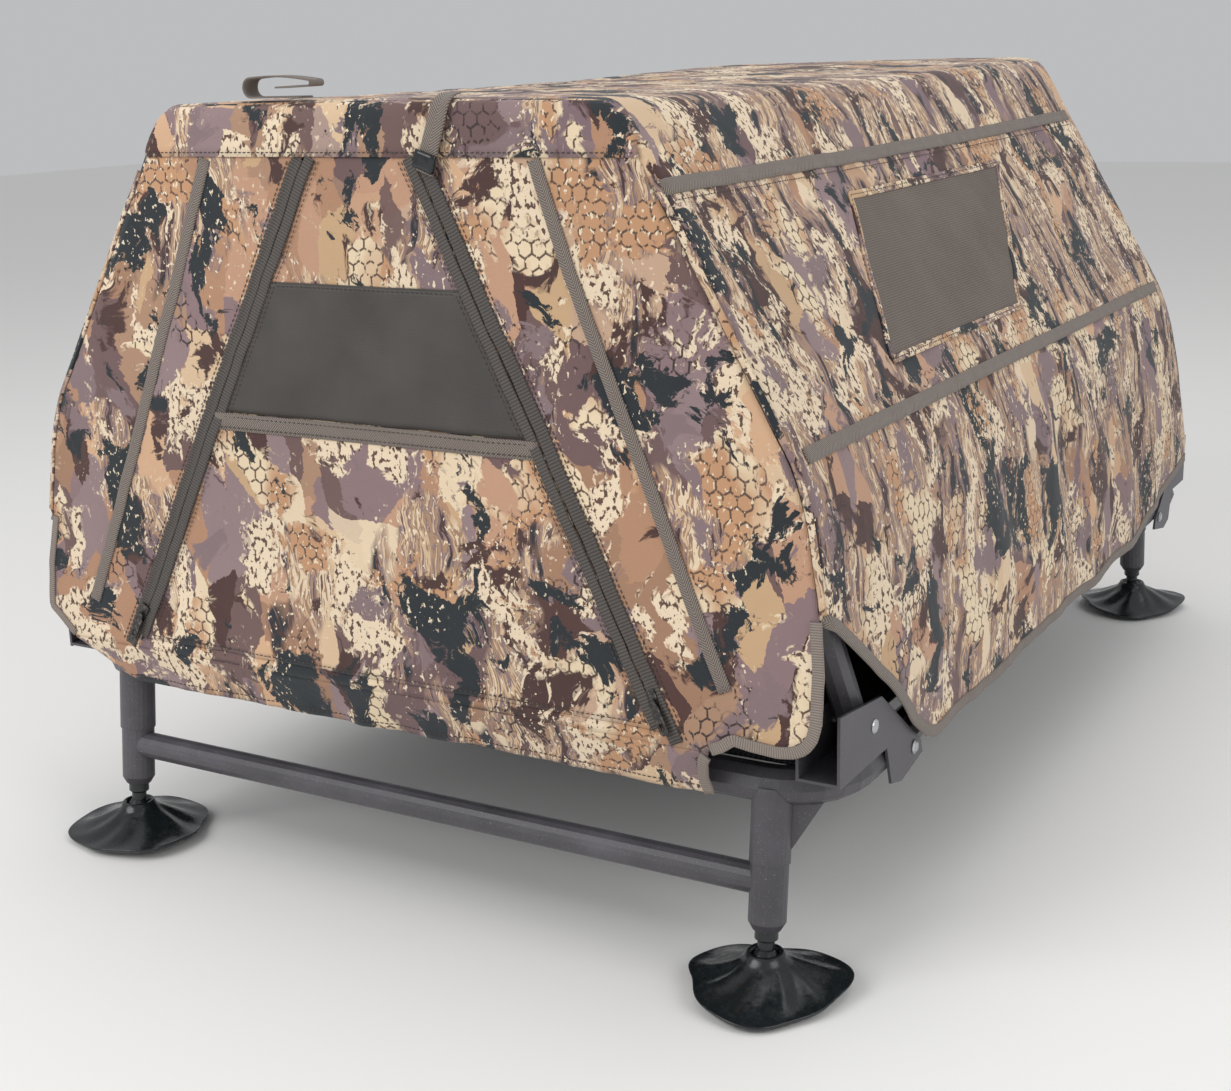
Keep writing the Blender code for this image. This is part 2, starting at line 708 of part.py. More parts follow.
def hoop_corners(end):
    """The right half of a hoop's corner points, from its pivot end to the top corner."""
    plane_y = front_plane_y if end == "front" else rear_plane_y
    top = (FRONT_HEIGHT if end == "front" else REAR_HEIGHT) - HOOP_TOP_DROP
    outward = ENDS[end]
    shoulder_y = {"front": plane_y(SHOULDER_HEIGHT) + HOOP_BACK, "rear": RAIL_HALF_LENGTH - 0.056}[end]
    top_y = plane_y(top) - outward * HOOP_BACK
    pivot = Vector((RAIL_HALF_WIDTH, outward * PIVOT_HALF_SPACING, PIVOT_HEIGHT))
    knee = Vector((0.334, shoulder_y, 0.300))
    down = (pivot - knee).normalized()
    return [
        pivot + down * HOOP_TAIL,
        knee,
        Vector((SHOULDER_HALF_WIDTH, shoulder_y, SHOULDER_HEIGHT)),
        Vector((HOOP_TOP_HALF_WIDTH, top_y, top)),
    ]


def make_hoop(end):
    """One bent tube from pivot to pivot over the top."""
    right = hoop_corners(end)
    left = [Vector((-p.x, p.y, p.z)) for p in reversed(right)]
    hoop = tube(f"{end}_hoop", rounded(right + left, HOOP_BEND, steps=5), HOOP_RADIUS, powder_coat)
    for side, sign in SIDES.items():
        pivot = (sign * RAIL_HALF_WIDTH, ENDS[end] * PIVOT_HALF_SPACING, PIVOT_HEIGHT)
        hole = rod(f"{end}_hoop_hole_{side}", PIN_RADIUS + PIN_CLEARANCE, 0.05, sides=16)
        across(hole, pivot)
        combine(hoop, hole, "DIFFERENCE")
    return hoop


for end in ENDS:
    make_hoop(end)


# --- cover: roof and side walls ---


def lifted(z, y):
    """A height above the shoulder, raised towards the rear, where the roof is higher."""
    if z <= COVER_SHOULDER_HEIGHT:
        return z
    share = (y - FRONT_TOP_Y) / (REAR_TOP_Y - FRONT_TOP_Y)
    rise = (REAR_HEIGHT - FRONT_HEIGHT) * share / (FRONT_HEIGHT - COVER_SHOULDER_HEIGHT)
    return z + (z - COVER_SHOULDER_HEIGHT) * rise


SECTION = [
    (COVER_BOTTOM_HALF_WIDTH, 0.215),
    (0.3512, 0.300),
    (0.3435, 0.345),
    (COVER_SHOULDER_HALF_WIDTH, COVER_SHOULDER_HEIGHT),
    (COVER_TOP_HALF_WIDTH, COVER_TOP_SEAM),
    (0.2035, 0.606),
    (COVER_EDGE_HALF_WIDTH, 0.6150),
]


def half_width(z):
    """The cover's outer half width at a height of the front section."""
    if z <= SECTION[0][1]:
        return SECTION[0][0]
    for (x0, z0), (x1, z1) in zip(SECTION, SECTION[1:]):
        if z <= z1:
            return x0 + (x1 - x0) * (z - z0) / (z1 - z0)
    return SECTION[-1][0]


SIDE_HEM_LINE = [
    (-RAIL_HALF_LENGTH - 0.033, 0.283),
    (-RAIL_HALF_LENGTH + 0.001, 0.262),
    (-RAIL_HALF_LENGTH + 0.037, 0.234),
    (-RAIL_HALF_LENGTH + 0.073, 0.203),
    (-RAIL_HALF_LENGTH + 0.105, 0.172),
    (-RAIL_HALF_LENGTH + 0.146, SIDE_HEM),
    (RAIL_HALF_LENGTH - 0.241, SIDE_HEM + 0.004),
    (RAIL_HALF_LENGTH - 0.161, 0.165),
    (RAIL_HALF_LENGTH - 0.091, 0.184),
    (RAIL_HALF_LENGTH - 0.011, 0.193),
]


def hem_height(y):
    """The lower edge of the side wall, cut away in an arc over the front corner and notched at the rear."""
    for (y0, z0), (y1, z1) in zip(SIDE_HEM_LINE, SIDE_HEM_LINE[1:]):
        if y <= y1:
            share = max(0.0, (y - y0) / (y1 - y0))
            return z0 + (z1 - z0) * share
    return SIDE_HEM_LINE[-1][1]


def cloth_shell(name, rows, material):
    """A sheet through rows of points, thickened inwards."""
    mesh = bpy.data.meshes.new(name)
    bm = bmesh.new()
    grid = [[bm.verts.new(point) for point in row] for row in rows]
    for lower, upper in zip(grid, grid[1:]):
        for i in range(len(lower) - 1):
            bm.faces.new((lower[i], lower[i + 1], upper[i + 1], upper[i]))
    bm.to_mesh(mesh)
    bm.free()
    body = place(bpy.data.objects.new(name, mesh), material)
    shell = body.modifiers.new("cloth", "SOLIDIFY")
    shell.thickness = CLOTH
    shell.offset = -1
    shell.use_even_offset = True
    return body


EDGE_GAP = CLOTH + 2 * GAP
COLUMNS = [-RAIL_HALF_LENGTH - 0.029] + [y for y, z in SIDE_HEM_LINE[1:6]]
COLUMNS += [-0.2, -0.05, 0.1] + [y for y, z in SIDE_HEM_LINE[6:]]
UPPER_LEVELS = [0.300, 0.345, COVER_SHOULDER_HEIGHT, 0.47, ROOF_SEAM]
LOWER_STEPS = 3


def make_side_wall(side):
    """One side of the cover, from its hem to the seam under the roof."""
    sign = SIDES[side]
    rows = []
    for k in range(LOWER_STEPS + len(UPPER_LEVELS)):
        row = []
        for column in COLUMNS:
            hem = hem_height(column)
            if k < LOWER_STEPS:
                z = hem + (UPPER_LEVELS[0] - hem) * k / LOWER_STEPS
            else:
                z = UPPER_LEVELS[k - LOWER_STEPS]
            x = sign * half_width(z)
            height = lifted(z, column)
            low = front_plane_y(height) + EDGE_GAP
            high = rear_plane_y(height) - EDGE_GAP
            share = (column - COLUMNS[0]) / (COLUMNS[-1] - COLUMNS[0])
            row.append((x, low + (high - low) * share, height))
        rows.append(row)
    if side == "left":
        rows = [list(reversed(row)) for row in rows]
    return cloth_shell(f"side_wall_{side}", rows, camo_cloth)


def make_roof():
    """The roof, with its edges turned down to the seams of the side walls."""
    start = ROOF_SEAM + 2 * GAP
    right = [(half_width(start), start)] + [p for p in SECTION if p[1] > start]
    crown = [(0.100, FRONT_HEIGHT - 0.0005), (0.0, FRONT_HEIGHT)]
    across_points = right + crown + [(-x, z) for x, z in reversed(right + crown[:1])]
    rows = []
    stations = 6
    for k in range(stations + 1):
        share = k / stations
        row = []
        for x, z in across_points:
            low = front_plane_y(z) + EDGE_GAP
            height = lifted(z, REAR_TOP_Y)
            high = rear_plane_y(height) - EDGE_GAP
            y = low + (high - low) * share
            row.append((x, y, lifted(z, y)))
        rows.append(row)
    rows = [list(reversed(row)) for row in rows]
    return cloth_shell("roof", rows, camo_cloth)


WINDOW = [(-0.239, 0.532), (0.117, 0.532), (-0.002, 0.420), (-0.308, 0.420)]
WINDOW_GAP = 0.0004


def make_window(side, wall):
    """The plain mesh window, a leaning four-sided sheet set in an opening of the side wall."""
    sign = SIDES[side]
    low_x, low_z = COVER_SHOULDER_HALF_WIDTH, COVER_SHOULDER_HEIGHT
    lean = atan2(COVER_SHOULDER_HALF_WIDTH - COVER_TOP_HALF_WIDTH, COVER_TOP_SEAM - COVER_SHOULDER_HEIGHT)
    outline = [(y, (z - low_z) / cos(lean)) for y, z in WINDOW]
    middle = (sum(p[0] for p in outline) / 4, sum(p[1] for p in outline) / 4)
    opening = [grown(p, middle, WINDOW_GAP + GAP) for p in outline]
    frame = Matrix.Translation((sign * low_x, 0, low_z)) @ Matrix.Rotation(-sign * lean, 4, "Y")
    stand = Matrix(((0, 0, sign, 0), (1, 0, 0, 0), (0, 1, 0, 0), (0, 0, 0, 1)))
    for name, points, thickness, sunk, collection, material in (
        (f"window_hole_{side}", opening, 0.02, 0.012, cutters, None),
        (f"side_window_{side}", outline, CLOTH * 0.6, CLOTH * 0.9, parts, window_mesh),
    ):
        body = plate(name, [points], thickness, material, collection)
        remap(body, frame @ stand @ Matrix.Translation((0, 0, -sunk)))
        if collection is cutters:
            combine(wall, body, "DIFFERENCE")


def grown(point, middle, margin):
    """A corner moved away from the middle of its outline."""
    away = Vector(point) - Vector(middle)
    reach = Vector((margin if away.x > 0 else -margin, margin if away.y > 0 else -margin))
    return tuple(Vector(middle) + away + reach * 2)


for side in SIDES:
    wall = make_side_wall(side)
    make_window(side, wall)
make_roof()


# --- front and rear walls, in the plane of each end ---


def end_frame(end):
    """A wall's own frame: X across, Y up the wall, Z out of its outer face."""
    plane_y = front_plane_y if end == "front" else rear_plane_y
    lean = atan2(plane_y(WALL_FOOT) - plane_y(WALL_FOOT + 1), 1.0)
    place_at = Matrix.Translation((0, plane_y(WALL_FOOT), WALL_FOOT))
    if end == "front":
        return place_at @ Matrix.Rotation(pi / 2 + lean, 4, "X")
    return place_at @ Matrix.Rotation(pi, 4, "Z") @ Matrix.Rotation(pi / 2 - lean, 4, "X")


def up_wall(z, end="front"):
    """How far up the wall's own face a height is."""
    plane_y = front_plane_y if end == "front" else rear_plane_y
    return (z - WALL_FOOT) * hypot(1, plane_y(WALL_FOOT) - plane_y(WALL_FOOT + 1))


def wall_outline(end):
    """The outline of an end wall, with a flap at each lower corner."""
    flap = [
        (SKIRT_HALF_WIDTH + 0.002, WALL_FOOT),
        (0.285, 0.194),
        (0.330, 0.191),
        (0.3505, 0.215),
        (half_width(0.255) - 0.001, 0.255),
    ]
    sides = [(x, z) for x, z in SECTION if z > 0.26]
    far_y = 0.0 if end == "front" else REAR_TOP_Y
    lift = FRONT_TOP_Y if end == "front" else far_y
    right = [(x, up_wall(lifted(z, lift), end)) for x, z in flap + sides]
    return right + [(-x, v) for x, v in reversed(right)]


def line_x(z, side, margin):
    """The zip line's place across the wall at a height, moved away from the door by a margin."""
    share = (DOOR_HEAD - z) / (DOOR_HEAD - DOOR_FOOT)
    half = DOOR_TOP_HALF_WIDTH + (DOOR_BOTTOM_HALF_WIDTH - DOOR_TOP_HALF_WIDTH) * share
    sideways = margin / cos(atan2(DOOR_BOTTOM_HALF_WIDTH - DOOR_TOP_HALF_WIDTH, DOOR_HEAD - DOOR_FOOT))
    return DOOR_OFFSET + SIDES[side] * (half + sideways)


def door_outline(margin, head=DOOR_HEAD, foot=DOOR_FOOT):
    corners = (("left", foot), ("right", foot), ("right", head), ("left", head))
    return [(line_x(z, side, margin), up_wall(z)) for side, z in corners]


def on_front(name, outlines, thickness, material, lift):
    """A flat piece on the front wall, its back a little way out of the wall's outer face."""
    body = plate(name, outlines, thickness, material)
    body.matrix_world = end_frame("front") @ Matrix.Translation((0, 0, lift))
    return body


opening = door_outline(ZIP_WALL_MARGIN, DOOR_HEAD + 0.0006, DOOR_FOOT - 0.0006)
on_front("front_wall", [wall_outline("front"), opening], CLOTH, camo_cloth, -CLOTH)
rear_wall = plate("rear_wall", [wall_outline("rear")], CLOTH, camo_cloth)
rear_wall.matrix_world = end_frame("rear") @ Matrix.Translation((0, 0, -CLOTH))

front_door = plate("front_door", [door_outline(-ZIP_DOOR_MARGIN)], CLOTH, camo_cloth)
hinge_line = Matrix.Translation((0, up_wall(DOOR_HEAD), 0))
front_door.data.transform(hinge_line.inverted() @ Matrix.Translation((0, 0, -CLOTH)))
front_door.matrix_world = end_frame("front") @ hinge_line

on_front(
    "door_patch", [door_outline(-0.011, PATCH_TOP, PATCH_FOOT)], TRIM_THICKNESS, patch_cloth, GAP
)
on_front(
    "door_webbing",
    [door_outline(-0.011, PATCH_FOOT - 2 * GAP, PATCH_FOOT - PATCH_WEBBING)],
    TRIM_THICKNESS,
    webbing,
    GAP,
)


def band_outline(points, width):
    """The outline of a band of even width along a line of points."""
    left, right = [], []
    for i, point in enumerate(points):
        before = points[max(i - 1, 0)]
        after = points[min(i + 1, len(points) - 1)]
        along = (Vector(after) - Vector(before)).normalized()
        out = Vector((-along.y, along.x)) * width / 2
        left.append(tuple(Vector(point) + out))
        right.append(tuple(Vector(point) - out))
    return right + list(reversed(left))


for side, sign in SIDES.items():
    inner = [(line_x(z, side, -0.001), up_wall(z)) for z in (DOOR_FOOT, DOOR_HEAD)]
    outer = [(line_x(z, side, TAPE_WIDTH), up_wall(z)) for z in (DOOR_HEAD, DOOR_FOOT)]
    on_front(f"zip_tape_{side}", [inner + outer], TRIM_THICKNESS, zip_tape, GAP)

STRAP_LINES = {
    "left": [(-0.156, 0.577), (-0.229, 0.400), (-0.305, 0.218)],
    "right": [(0.135, 0.577), (0.163, 0.500), (0.196, 0.420), (0.238, 0.325), (0.281, 0.228)],
}
for side, line in STRAP_LINES.items():
    flat = [(x, up_wall(z)) for x, z in line]
    on_front(f"stubble_strap_{side}", [band_outline(flat, STRAP_WIDTH)], TRIM_THICKNESS, webbing, GAP)

tie_roll = rod("door_tie_left", TIE_RADIUS, TIE_LENGTH, parts, webbing, sides=12)
across(tie_roll, (-0.0865, FRONT_TOP_Y + TIE_RADIUS + 0.001, FRONT_HEIGHT + TIE_RADIUS + 0.0012))
tie_tail = [(0.050, 0.570), (0.064, 0.570), (0.066, 0.614), (0.048, 0.614)]
on_front(
    "door_tie_right",
    [[(x, up_wall(z)) for x, z in tie_tail]],
    TRIM_THICKNESS,
    webbing,
    TRIM_THICKNESS + 2 * GAP,
)


# --- zip sliders and pulls ---

ZIP_LEAN = atan2(DOOR_BOTTOM_HALF_WIDTH - DOOR_TOP_HALF_WIDTH, up_wall(DOOR_HEAD) - up_wall(DOOR_FOOT))
SLIDER_LIFT = 2 * GAP + TRIM_THICKNESS
PULL_LIFT = SLIDER_LIFT + SLIDER_THICKNESS + PULL_SWING_GAP


def zip_frame(side):
    """A frame on the zip line at the slider's rest place: Y up the zip, Z out of the wall."""
    x = line_x(SLIDER_HEIGHT, side, 0)
    at = end_frame("front") @ Matrix.Translation((x, up_wall(SLIDER_HEIGHT), 0))
    return at @ Matrix.Rotation(SIDES[side] * ZIP_LEAN, 4, "Z")


for side in SIDES:
    w, h = SLIDER_WIDTH / 2, SLIDER_LENGTH / 2
    shape = [
        (-w, h * 0.4),
        (-w, h * 0.9),
        (-w * 0.5, h),
        (w * 0.5, h),
        (w, h * 0.9),
        (w, h * 0.4),
        (w * 0.7, -h),
        (-w * 0.7, -h),
    ]
    slider = plate(f"zip_slider_{side}", [shape], SLIDER_THICKNESS, zip_metal)
    slider.matrix_world = zip_frame(side) @ Matrix.Translation((0, 0, SLIDER_LIFT))
    p = PULL_WIDTH / 2
    tab = [
        (-p * 0.6, 0),
        (p * 0.6, 0),
        (p, -0.006),
        (p, -PULL_LENGTH + 0.002),
        (p * 0.6, -PULL_LENGTH),
        (-p * 0.6, -PULL_LENGTH),
        (-p, -PULL_LENGTH + 0.002),
        (-p, -0.006),
    ]
    hole = [
        (-p * 0.45, -PULL_LENGTH + 0.009),
        (p * 0.45, -PULL_LENGTH + 0.009),
        (p * 0.45, -PULL_LENGTH + 0.004),
        (-p * 0.45, -PULL_LENGTH + 0.004),
    ]
    pull = plate(f"zip_pull_{side}", [tab, hole], PULL_THICKNESS, zip_metal)
    pull.matrix_world = zip_frame(side) @ Matrix.Translation((0, 0, PULL_LIFT))


# --- skirts over the end rails ---

SKIRT_TOP = WALL_FOOT - 4 * GAP
SKIRT_LINES = {
    "front": [
        (RAIL_HALF_LENGTH + 0.0195, SKIRT_TOP - SKIRT_DROP),
        (RAIL_HALF_LENGTH + 0.0265, 0.164),
        (RAIL_HALF_LENGTH + 0.0339, SKIRT_TOP),
    ],
    "rear": [
        (RAIL_HALF_LENGTH + 0.0185, SKIRT_TOP - SKIRT_DROP),
        (RAIL_HALF_LENGTH + 0.0170, 0.165),
        (RAIL_HALF_LENGTH + 0.0015, SKIRT_TOP),
    ],
}
for end, line in SKIRT_LINES.items():
    outward = ENDS[end]
    widths = (-SKIRT_HALF_WIDTH, SKIRT_HALF_WIDTH)
    if end == "rear":
        widths = (SKIRT_HALF_WIDTH, -SKIRT_HALF_WIDTH)
    cloth_shell(f"{end}_skirt", [[(x, outward * y, z) for x in widths] for y, z in line], camo_cloth)
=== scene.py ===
from math import ceil, cos, exp, hypot, pi, radians, sin, sqrt

import bpy
from mathutils import Matrix, Vector, noise


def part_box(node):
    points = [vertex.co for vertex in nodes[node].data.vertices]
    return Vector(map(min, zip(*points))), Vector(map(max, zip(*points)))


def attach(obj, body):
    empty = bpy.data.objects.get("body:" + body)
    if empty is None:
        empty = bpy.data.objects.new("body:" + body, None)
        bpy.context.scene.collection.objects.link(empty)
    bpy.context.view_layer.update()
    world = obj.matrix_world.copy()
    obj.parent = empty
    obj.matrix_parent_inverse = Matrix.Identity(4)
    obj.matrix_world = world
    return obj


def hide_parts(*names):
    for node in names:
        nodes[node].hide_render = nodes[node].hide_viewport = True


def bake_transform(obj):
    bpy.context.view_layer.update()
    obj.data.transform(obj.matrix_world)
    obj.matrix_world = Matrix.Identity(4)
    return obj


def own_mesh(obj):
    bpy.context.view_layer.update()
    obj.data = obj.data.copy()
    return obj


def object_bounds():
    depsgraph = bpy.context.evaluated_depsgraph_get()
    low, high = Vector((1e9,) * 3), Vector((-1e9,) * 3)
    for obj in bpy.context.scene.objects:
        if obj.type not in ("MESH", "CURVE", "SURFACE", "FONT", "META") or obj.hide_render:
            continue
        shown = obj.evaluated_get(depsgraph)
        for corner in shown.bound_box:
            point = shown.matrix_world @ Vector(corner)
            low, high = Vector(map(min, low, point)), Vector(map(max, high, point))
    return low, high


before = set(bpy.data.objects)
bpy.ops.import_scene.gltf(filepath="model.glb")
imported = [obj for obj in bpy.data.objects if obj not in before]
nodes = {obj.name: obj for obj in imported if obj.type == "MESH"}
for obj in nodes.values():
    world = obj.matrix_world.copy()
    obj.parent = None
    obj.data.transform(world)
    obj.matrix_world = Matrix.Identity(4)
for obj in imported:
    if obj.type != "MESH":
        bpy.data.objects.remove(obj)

cad_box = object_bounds()


# The camera stands in front of the blind's right corner, a little above its roof, and looks down at it.
yaw, pitch, roll = radians(30.28), radians(15.23), radians(-1.62)
camera = bpy.data.objects.new("camera", bpy.data.cameras.new("camera"))
bpy.context.scene.collection.objects.link(camera)
bpy.context.scene.camera = camera
camera.data.lens = 51.994
camera.data.sensor_width = 36.0
camera.data.sensor_fit = "HORIZONTAL"
back = Vector((sin(yaw) * cos(pitch), -cos(yaw) * cos(pitch), sin(pitch)))
across = (-back).cross(Vector((0, 0, 1))).normalized()
upward = across.cross(-back)
turned_across = across * cos(roll) + upward * sin(roll)
turned_up = -across * sin(roll) + upward * cos(roll)
camera.matrix_world = (
    Matrix.Translation((0.7876, -1.5341, 0.6389)) @ Matrix(
        (turned_across, turned_up, back)
    ).transposed().to_4x4()
)


# Studio: a plain pale floor and soft light, one broad panel from the front left, one from the right and one
# overhead.
def linear(shade):
    """An sRGB hex colour as the linear values that a shader takes."""
    parts = [int(shade[i : i + 2], 16) / 255 for i in (1, 3, 5)]
    return tuple(c / 12.92 if c <= 0.04045 else ((c + 0.055) / 1.055) ** 2.4 for c in parts) + (1.0,)


def add(tree, kind, settings=None, inputs=None):
    """Adds a node with its settings and its inputs, each a value or the socket that feeds it."""
    made = tree.nodes.new("ShaderNode" + kind)
    for name, value in (settings or {}).items():
        if name == "stops":
            ramp = made.color_ramp
            while len(ramp.elements) < len(value):
                ramp.elements.new(1.0)
            for element, (place, shade) in zip(ramp.elements, value):
                element.position = place
                element.color = linear(shade)
        else:
            setattr(made, name, value)
    for name, value in (inputs or {}).items():
        if isinstance(value, bpy.types.NodeSocket):
            tree.links.new(value, made.inputs[name])
        else:
            made.inputs[name].default_value = value
    return made


def finish_of(name, shade, roughness, ior=1.5, metallic=0.0):
    """A new material with its base colour and surface set on the shader."""
    made = bpy.data.materials.new(name)
    made.use_nodes = True
    shader = made.node_tree.nodes["Principled BSDF"]
    shader.inputs["Base Color"].default_value = linear(shade)
    shader.inputs["Roughness"].default_value = roughness
    shader.inputs["IOR"].default_value = ior
    shader.inputs["Metallic"].default_value = metallic
    return made, made.node_tree, shader


floor_mesh = bpy.data.meshes.new("floor")
floor_mesh.from_pydata([(-9, -9, 0), (9, -9, 0), (9, 9, 0), (-9, 9, 0)], [], [(0, 1, 2, 3)])
floor = bpy.data.objects.new("floor", floor_mesh)
floor.location.z = cad_box[0].z - 0.0004
bpy.context.scene.collection.objects.link(floor)
floor_mesh.materials.append(finish_of("pale_studio_floor", "#f4f3f1", 0.9)[0])

world = bpy.data.worlds.new("studio_air")
world.use_nodes = True
world.node_tree.nodes["Background"].inputs["Color"].default_value = linear("#f6f7f9")
world.node_tree.nodes["Background"].inputs["Strength"].default_value = 0.55
bpy.context.scene.world = world
bpy.context.scene.view_settings.view_transform = "Standard"

for name, place, size, power in (
    ("light_front_left", (-1.3, -2.6, 1.9), 1.8, 41.0),
    ("light_right", (2.7, -0.9, 1.7), 1.8, 23.0),
    ("light_above", (0.2, 0.2, 2.9), 2.2, 19.0),
):
    lamp = bpy.data.objects.new(name, bpy.data.lights.new(name, "AREA"))
    lamp.data.size = size
    lamp.data.energy = power
    lamp.location = place
    lamp.rotation_euler = (Vector(place) - Vector((0, 0, 0.3))).to_track_quat("Z", "Y").to_euler()
    bpy.context.scene.collection.objects.link(lamp)


# Rail frame, deck bearer, brackets, leg sockets, leg frames and hoops: steel tube and sheet, bent and
# welded, then powder coated. Baked powder gives a dark satin skin with a fine orange peel and paler rubbed
# spots.
coat, tree, shader = finish_of("powder_coated_steel", "#535155", 0.40)
grain = add(tree, "TexCoord").outputs["Object"]
# The peel of the real coat is about 1 mm across. It is drawn at 3 mm, so that it shows.
peel = add(tree, "TexNoise", None, {"Vector": grain, "Scale": 330.0, "Detail": 2.0})
cloud = add(tree, "TexNoise", None, {"Vector": grain, "Scale": 14.0, "Detail": 5.0, "Roughness": 0.6})
tone = add(
    tree,
    "ValToRGB",
    {"stops": [(0.25, "#3c3b3f"), (0.55, "#4e4c51"), (0.8, "#615f65")]},
    {"Fac": cloud.outputs["Fac"]},
)
dust = add(tree, "TexNoise", None, {"Vector": grain, "Scale": 900.0, "Detail": 1.0})
speck = add(
    tree,
    "ValToRGB",
    {"stops": [(0.0, "#000000"), (0.68, "#000000"), (0.74, "#ffffff")]},
    {"Fac": dust.outputs["Fac"]},
)
rubbed = add(
    tree, "Mix", {"data_type": "RGBA"}, {
        0: speck.outputs["Color"], 6: tone.outputs["Color"], 7: linear("#77747a")
    }
)
tree.links.new(rubbed.outputs[2], shader.inputs["Base Color"])
satin = add(
    tree,
    "MapRange",
    None,
    {"Value": cloud.outputs["Fac"], "From Min": 0.3, "From Max": 0.75, "To Min": 0.36, "To Max": 0.52},
)
tree.links.new(satin.outputs["Result"], shader.inputs["Roughness"])
relief = add(tree, "Bump", None, {"Height": peel.outputs["Fac"], "Strength": 0.16, "Distance": 0.0006})
tree.links.new(relief.outputs["Normal"], shader.inputs["Normal"])

coated_nodes = (
    "rail_frame",
    "deck_bearer",
    "leg_socket",
    "hoop_bracket",
    "front_hoop",
    "rear_hoop",
    "front_leg",
    "rear_leg",
)
for name, piece in nodes.items():
    if name.startswith(coated_nodes):
        piece.data.materials.clear()
        piece.data.materials.append(coat)


# Pins, bolts and snap buttons: turned steel, zinc plated. The plating is bright, with a cloudy grey-blue
# bloom and fine turning marks round each head. The foot studs are given the glossy black plastic.
zinc, tree, shader = finish_of("zinc_plated_steel", "#c3c6c8", 0.3, metallic=1.0)
grain = add(tree, "TexCoord").outputs["Object"]
bloom = add(tree, "TexNoise", None, {"Vector": grain, "Scale": 260.0, "Detail": 4.0})
tone = add(tree, "ValToRGB", {"stops": [(0.3, "#9ba0a3"), (0.7, "#d0d2d2")]}, {"Fac": bloom.outputs["Fac"]})
tree.links.new(tone.outputs["Color"], shader.inputs["Base Color"])
satin = add(tree, "MapRange", None, {"Value": bloom.outputs["Fac"], "To Min": 0.22, "To Max": 0.48})
tree.links.new(satin.outputs["Result"], shader.inputs["Roughness"])
relief = add(tree, "Bump", None, {"Height": bloom.outputs["Fac"], "Strength": 0.12, "Distance": 0.0003})
tree.links.new(relief.outputs["Normal"], shader.inputs["Normal"])

black, tree, shader = finish_of("glossy_black_plastic", "#181c1e", 0.2, ior=1.52)
# Moulded polypropylene: deep black and glossy, with soft flow waves about 25 mm long and light scuffs.
grain = add(tree, "TexCoord").outputs["Object"]
flow = add(tree, "TexNoise", None, {"Vector": grain, "Scale": 40.0, "Detail": 3.0})
scuff = add(tree, "TexNoise", None, {"Vector": grain, "Scale": 120.0, "Detail": 6.0, "Roughness": 0.7})
tone = add(
    tree,
    "ValToRGB",
    {"stops": [(0.3, "#14181a"), (0.62, "#1d2224"), (0.8, "#2f3638")]},
    {"Fac": scuff.outputs["Fac"]},
)
tree.links.new(tone.outputs["Color"], shader.inputs["Base Color"])
gloss = add(
    tree,
    "MapRange",
    None,
    {"Value": scuff.outputs["Fac"], "From Min": 0.35, "From Max": 0.7, "To Min": 0.15, "To Max": 0.36},
)
tree.links.new(gloss.outputs["Result"], shader.inputs["Roughness"])
relief = add(tree, "Bump", None, {"Height": flow.outputs["Fac"], "Strength": 0.3, "Distance": 0.003})
tree.links.new(relief.outputs["Normal"], shader.inputs["Normal"])

for name, piece in nodes.items():
    if any(name.startswith(start) for start in ("hoop_pin", "bracket_bolt", "snap_button")):
        piece.data.materials.clear()
        piece.data.materials.append(zinc)
    if name.startswith("foot_stud"):
        piece.data.materials.clear()
        piece.data.materials.append(black)


# Foot pads: broad mud feet of black polypropylene, injection moulded in one piece with a boss over the ball
# and a thin skirt that flares into three lobes. Each snaps over the ball of its stud.
pad_radius, lobe, wave = 0.0575, 0.0045, 0.0055
boss, crown, rim_height, flat = 0.0150, 0.0315, 0.0055, 0.036


def place_mesh(name, points, faces, finish, uvs=None):
    """A shaded mesh object in the scene, with its cloth coordinates in metres if it has any."""
    mesh = bpy.data.meshes.new(name)
    mesh.from_pydata(points, [], faces)
    mesh.materials.append(finish)
    mesh.shade_smooth()
    if uvs:
        layer = mesh.uv_layers.new(name="cloth").data
        for loop in mesh.loops:
            layer[loop.index].uv = uvs[loop.vertex_index]
    mesh.update()
    made = bpy.data.objects.new(name, mesh)
    bpy.context.scene.collection.objects.link(made)
    return made


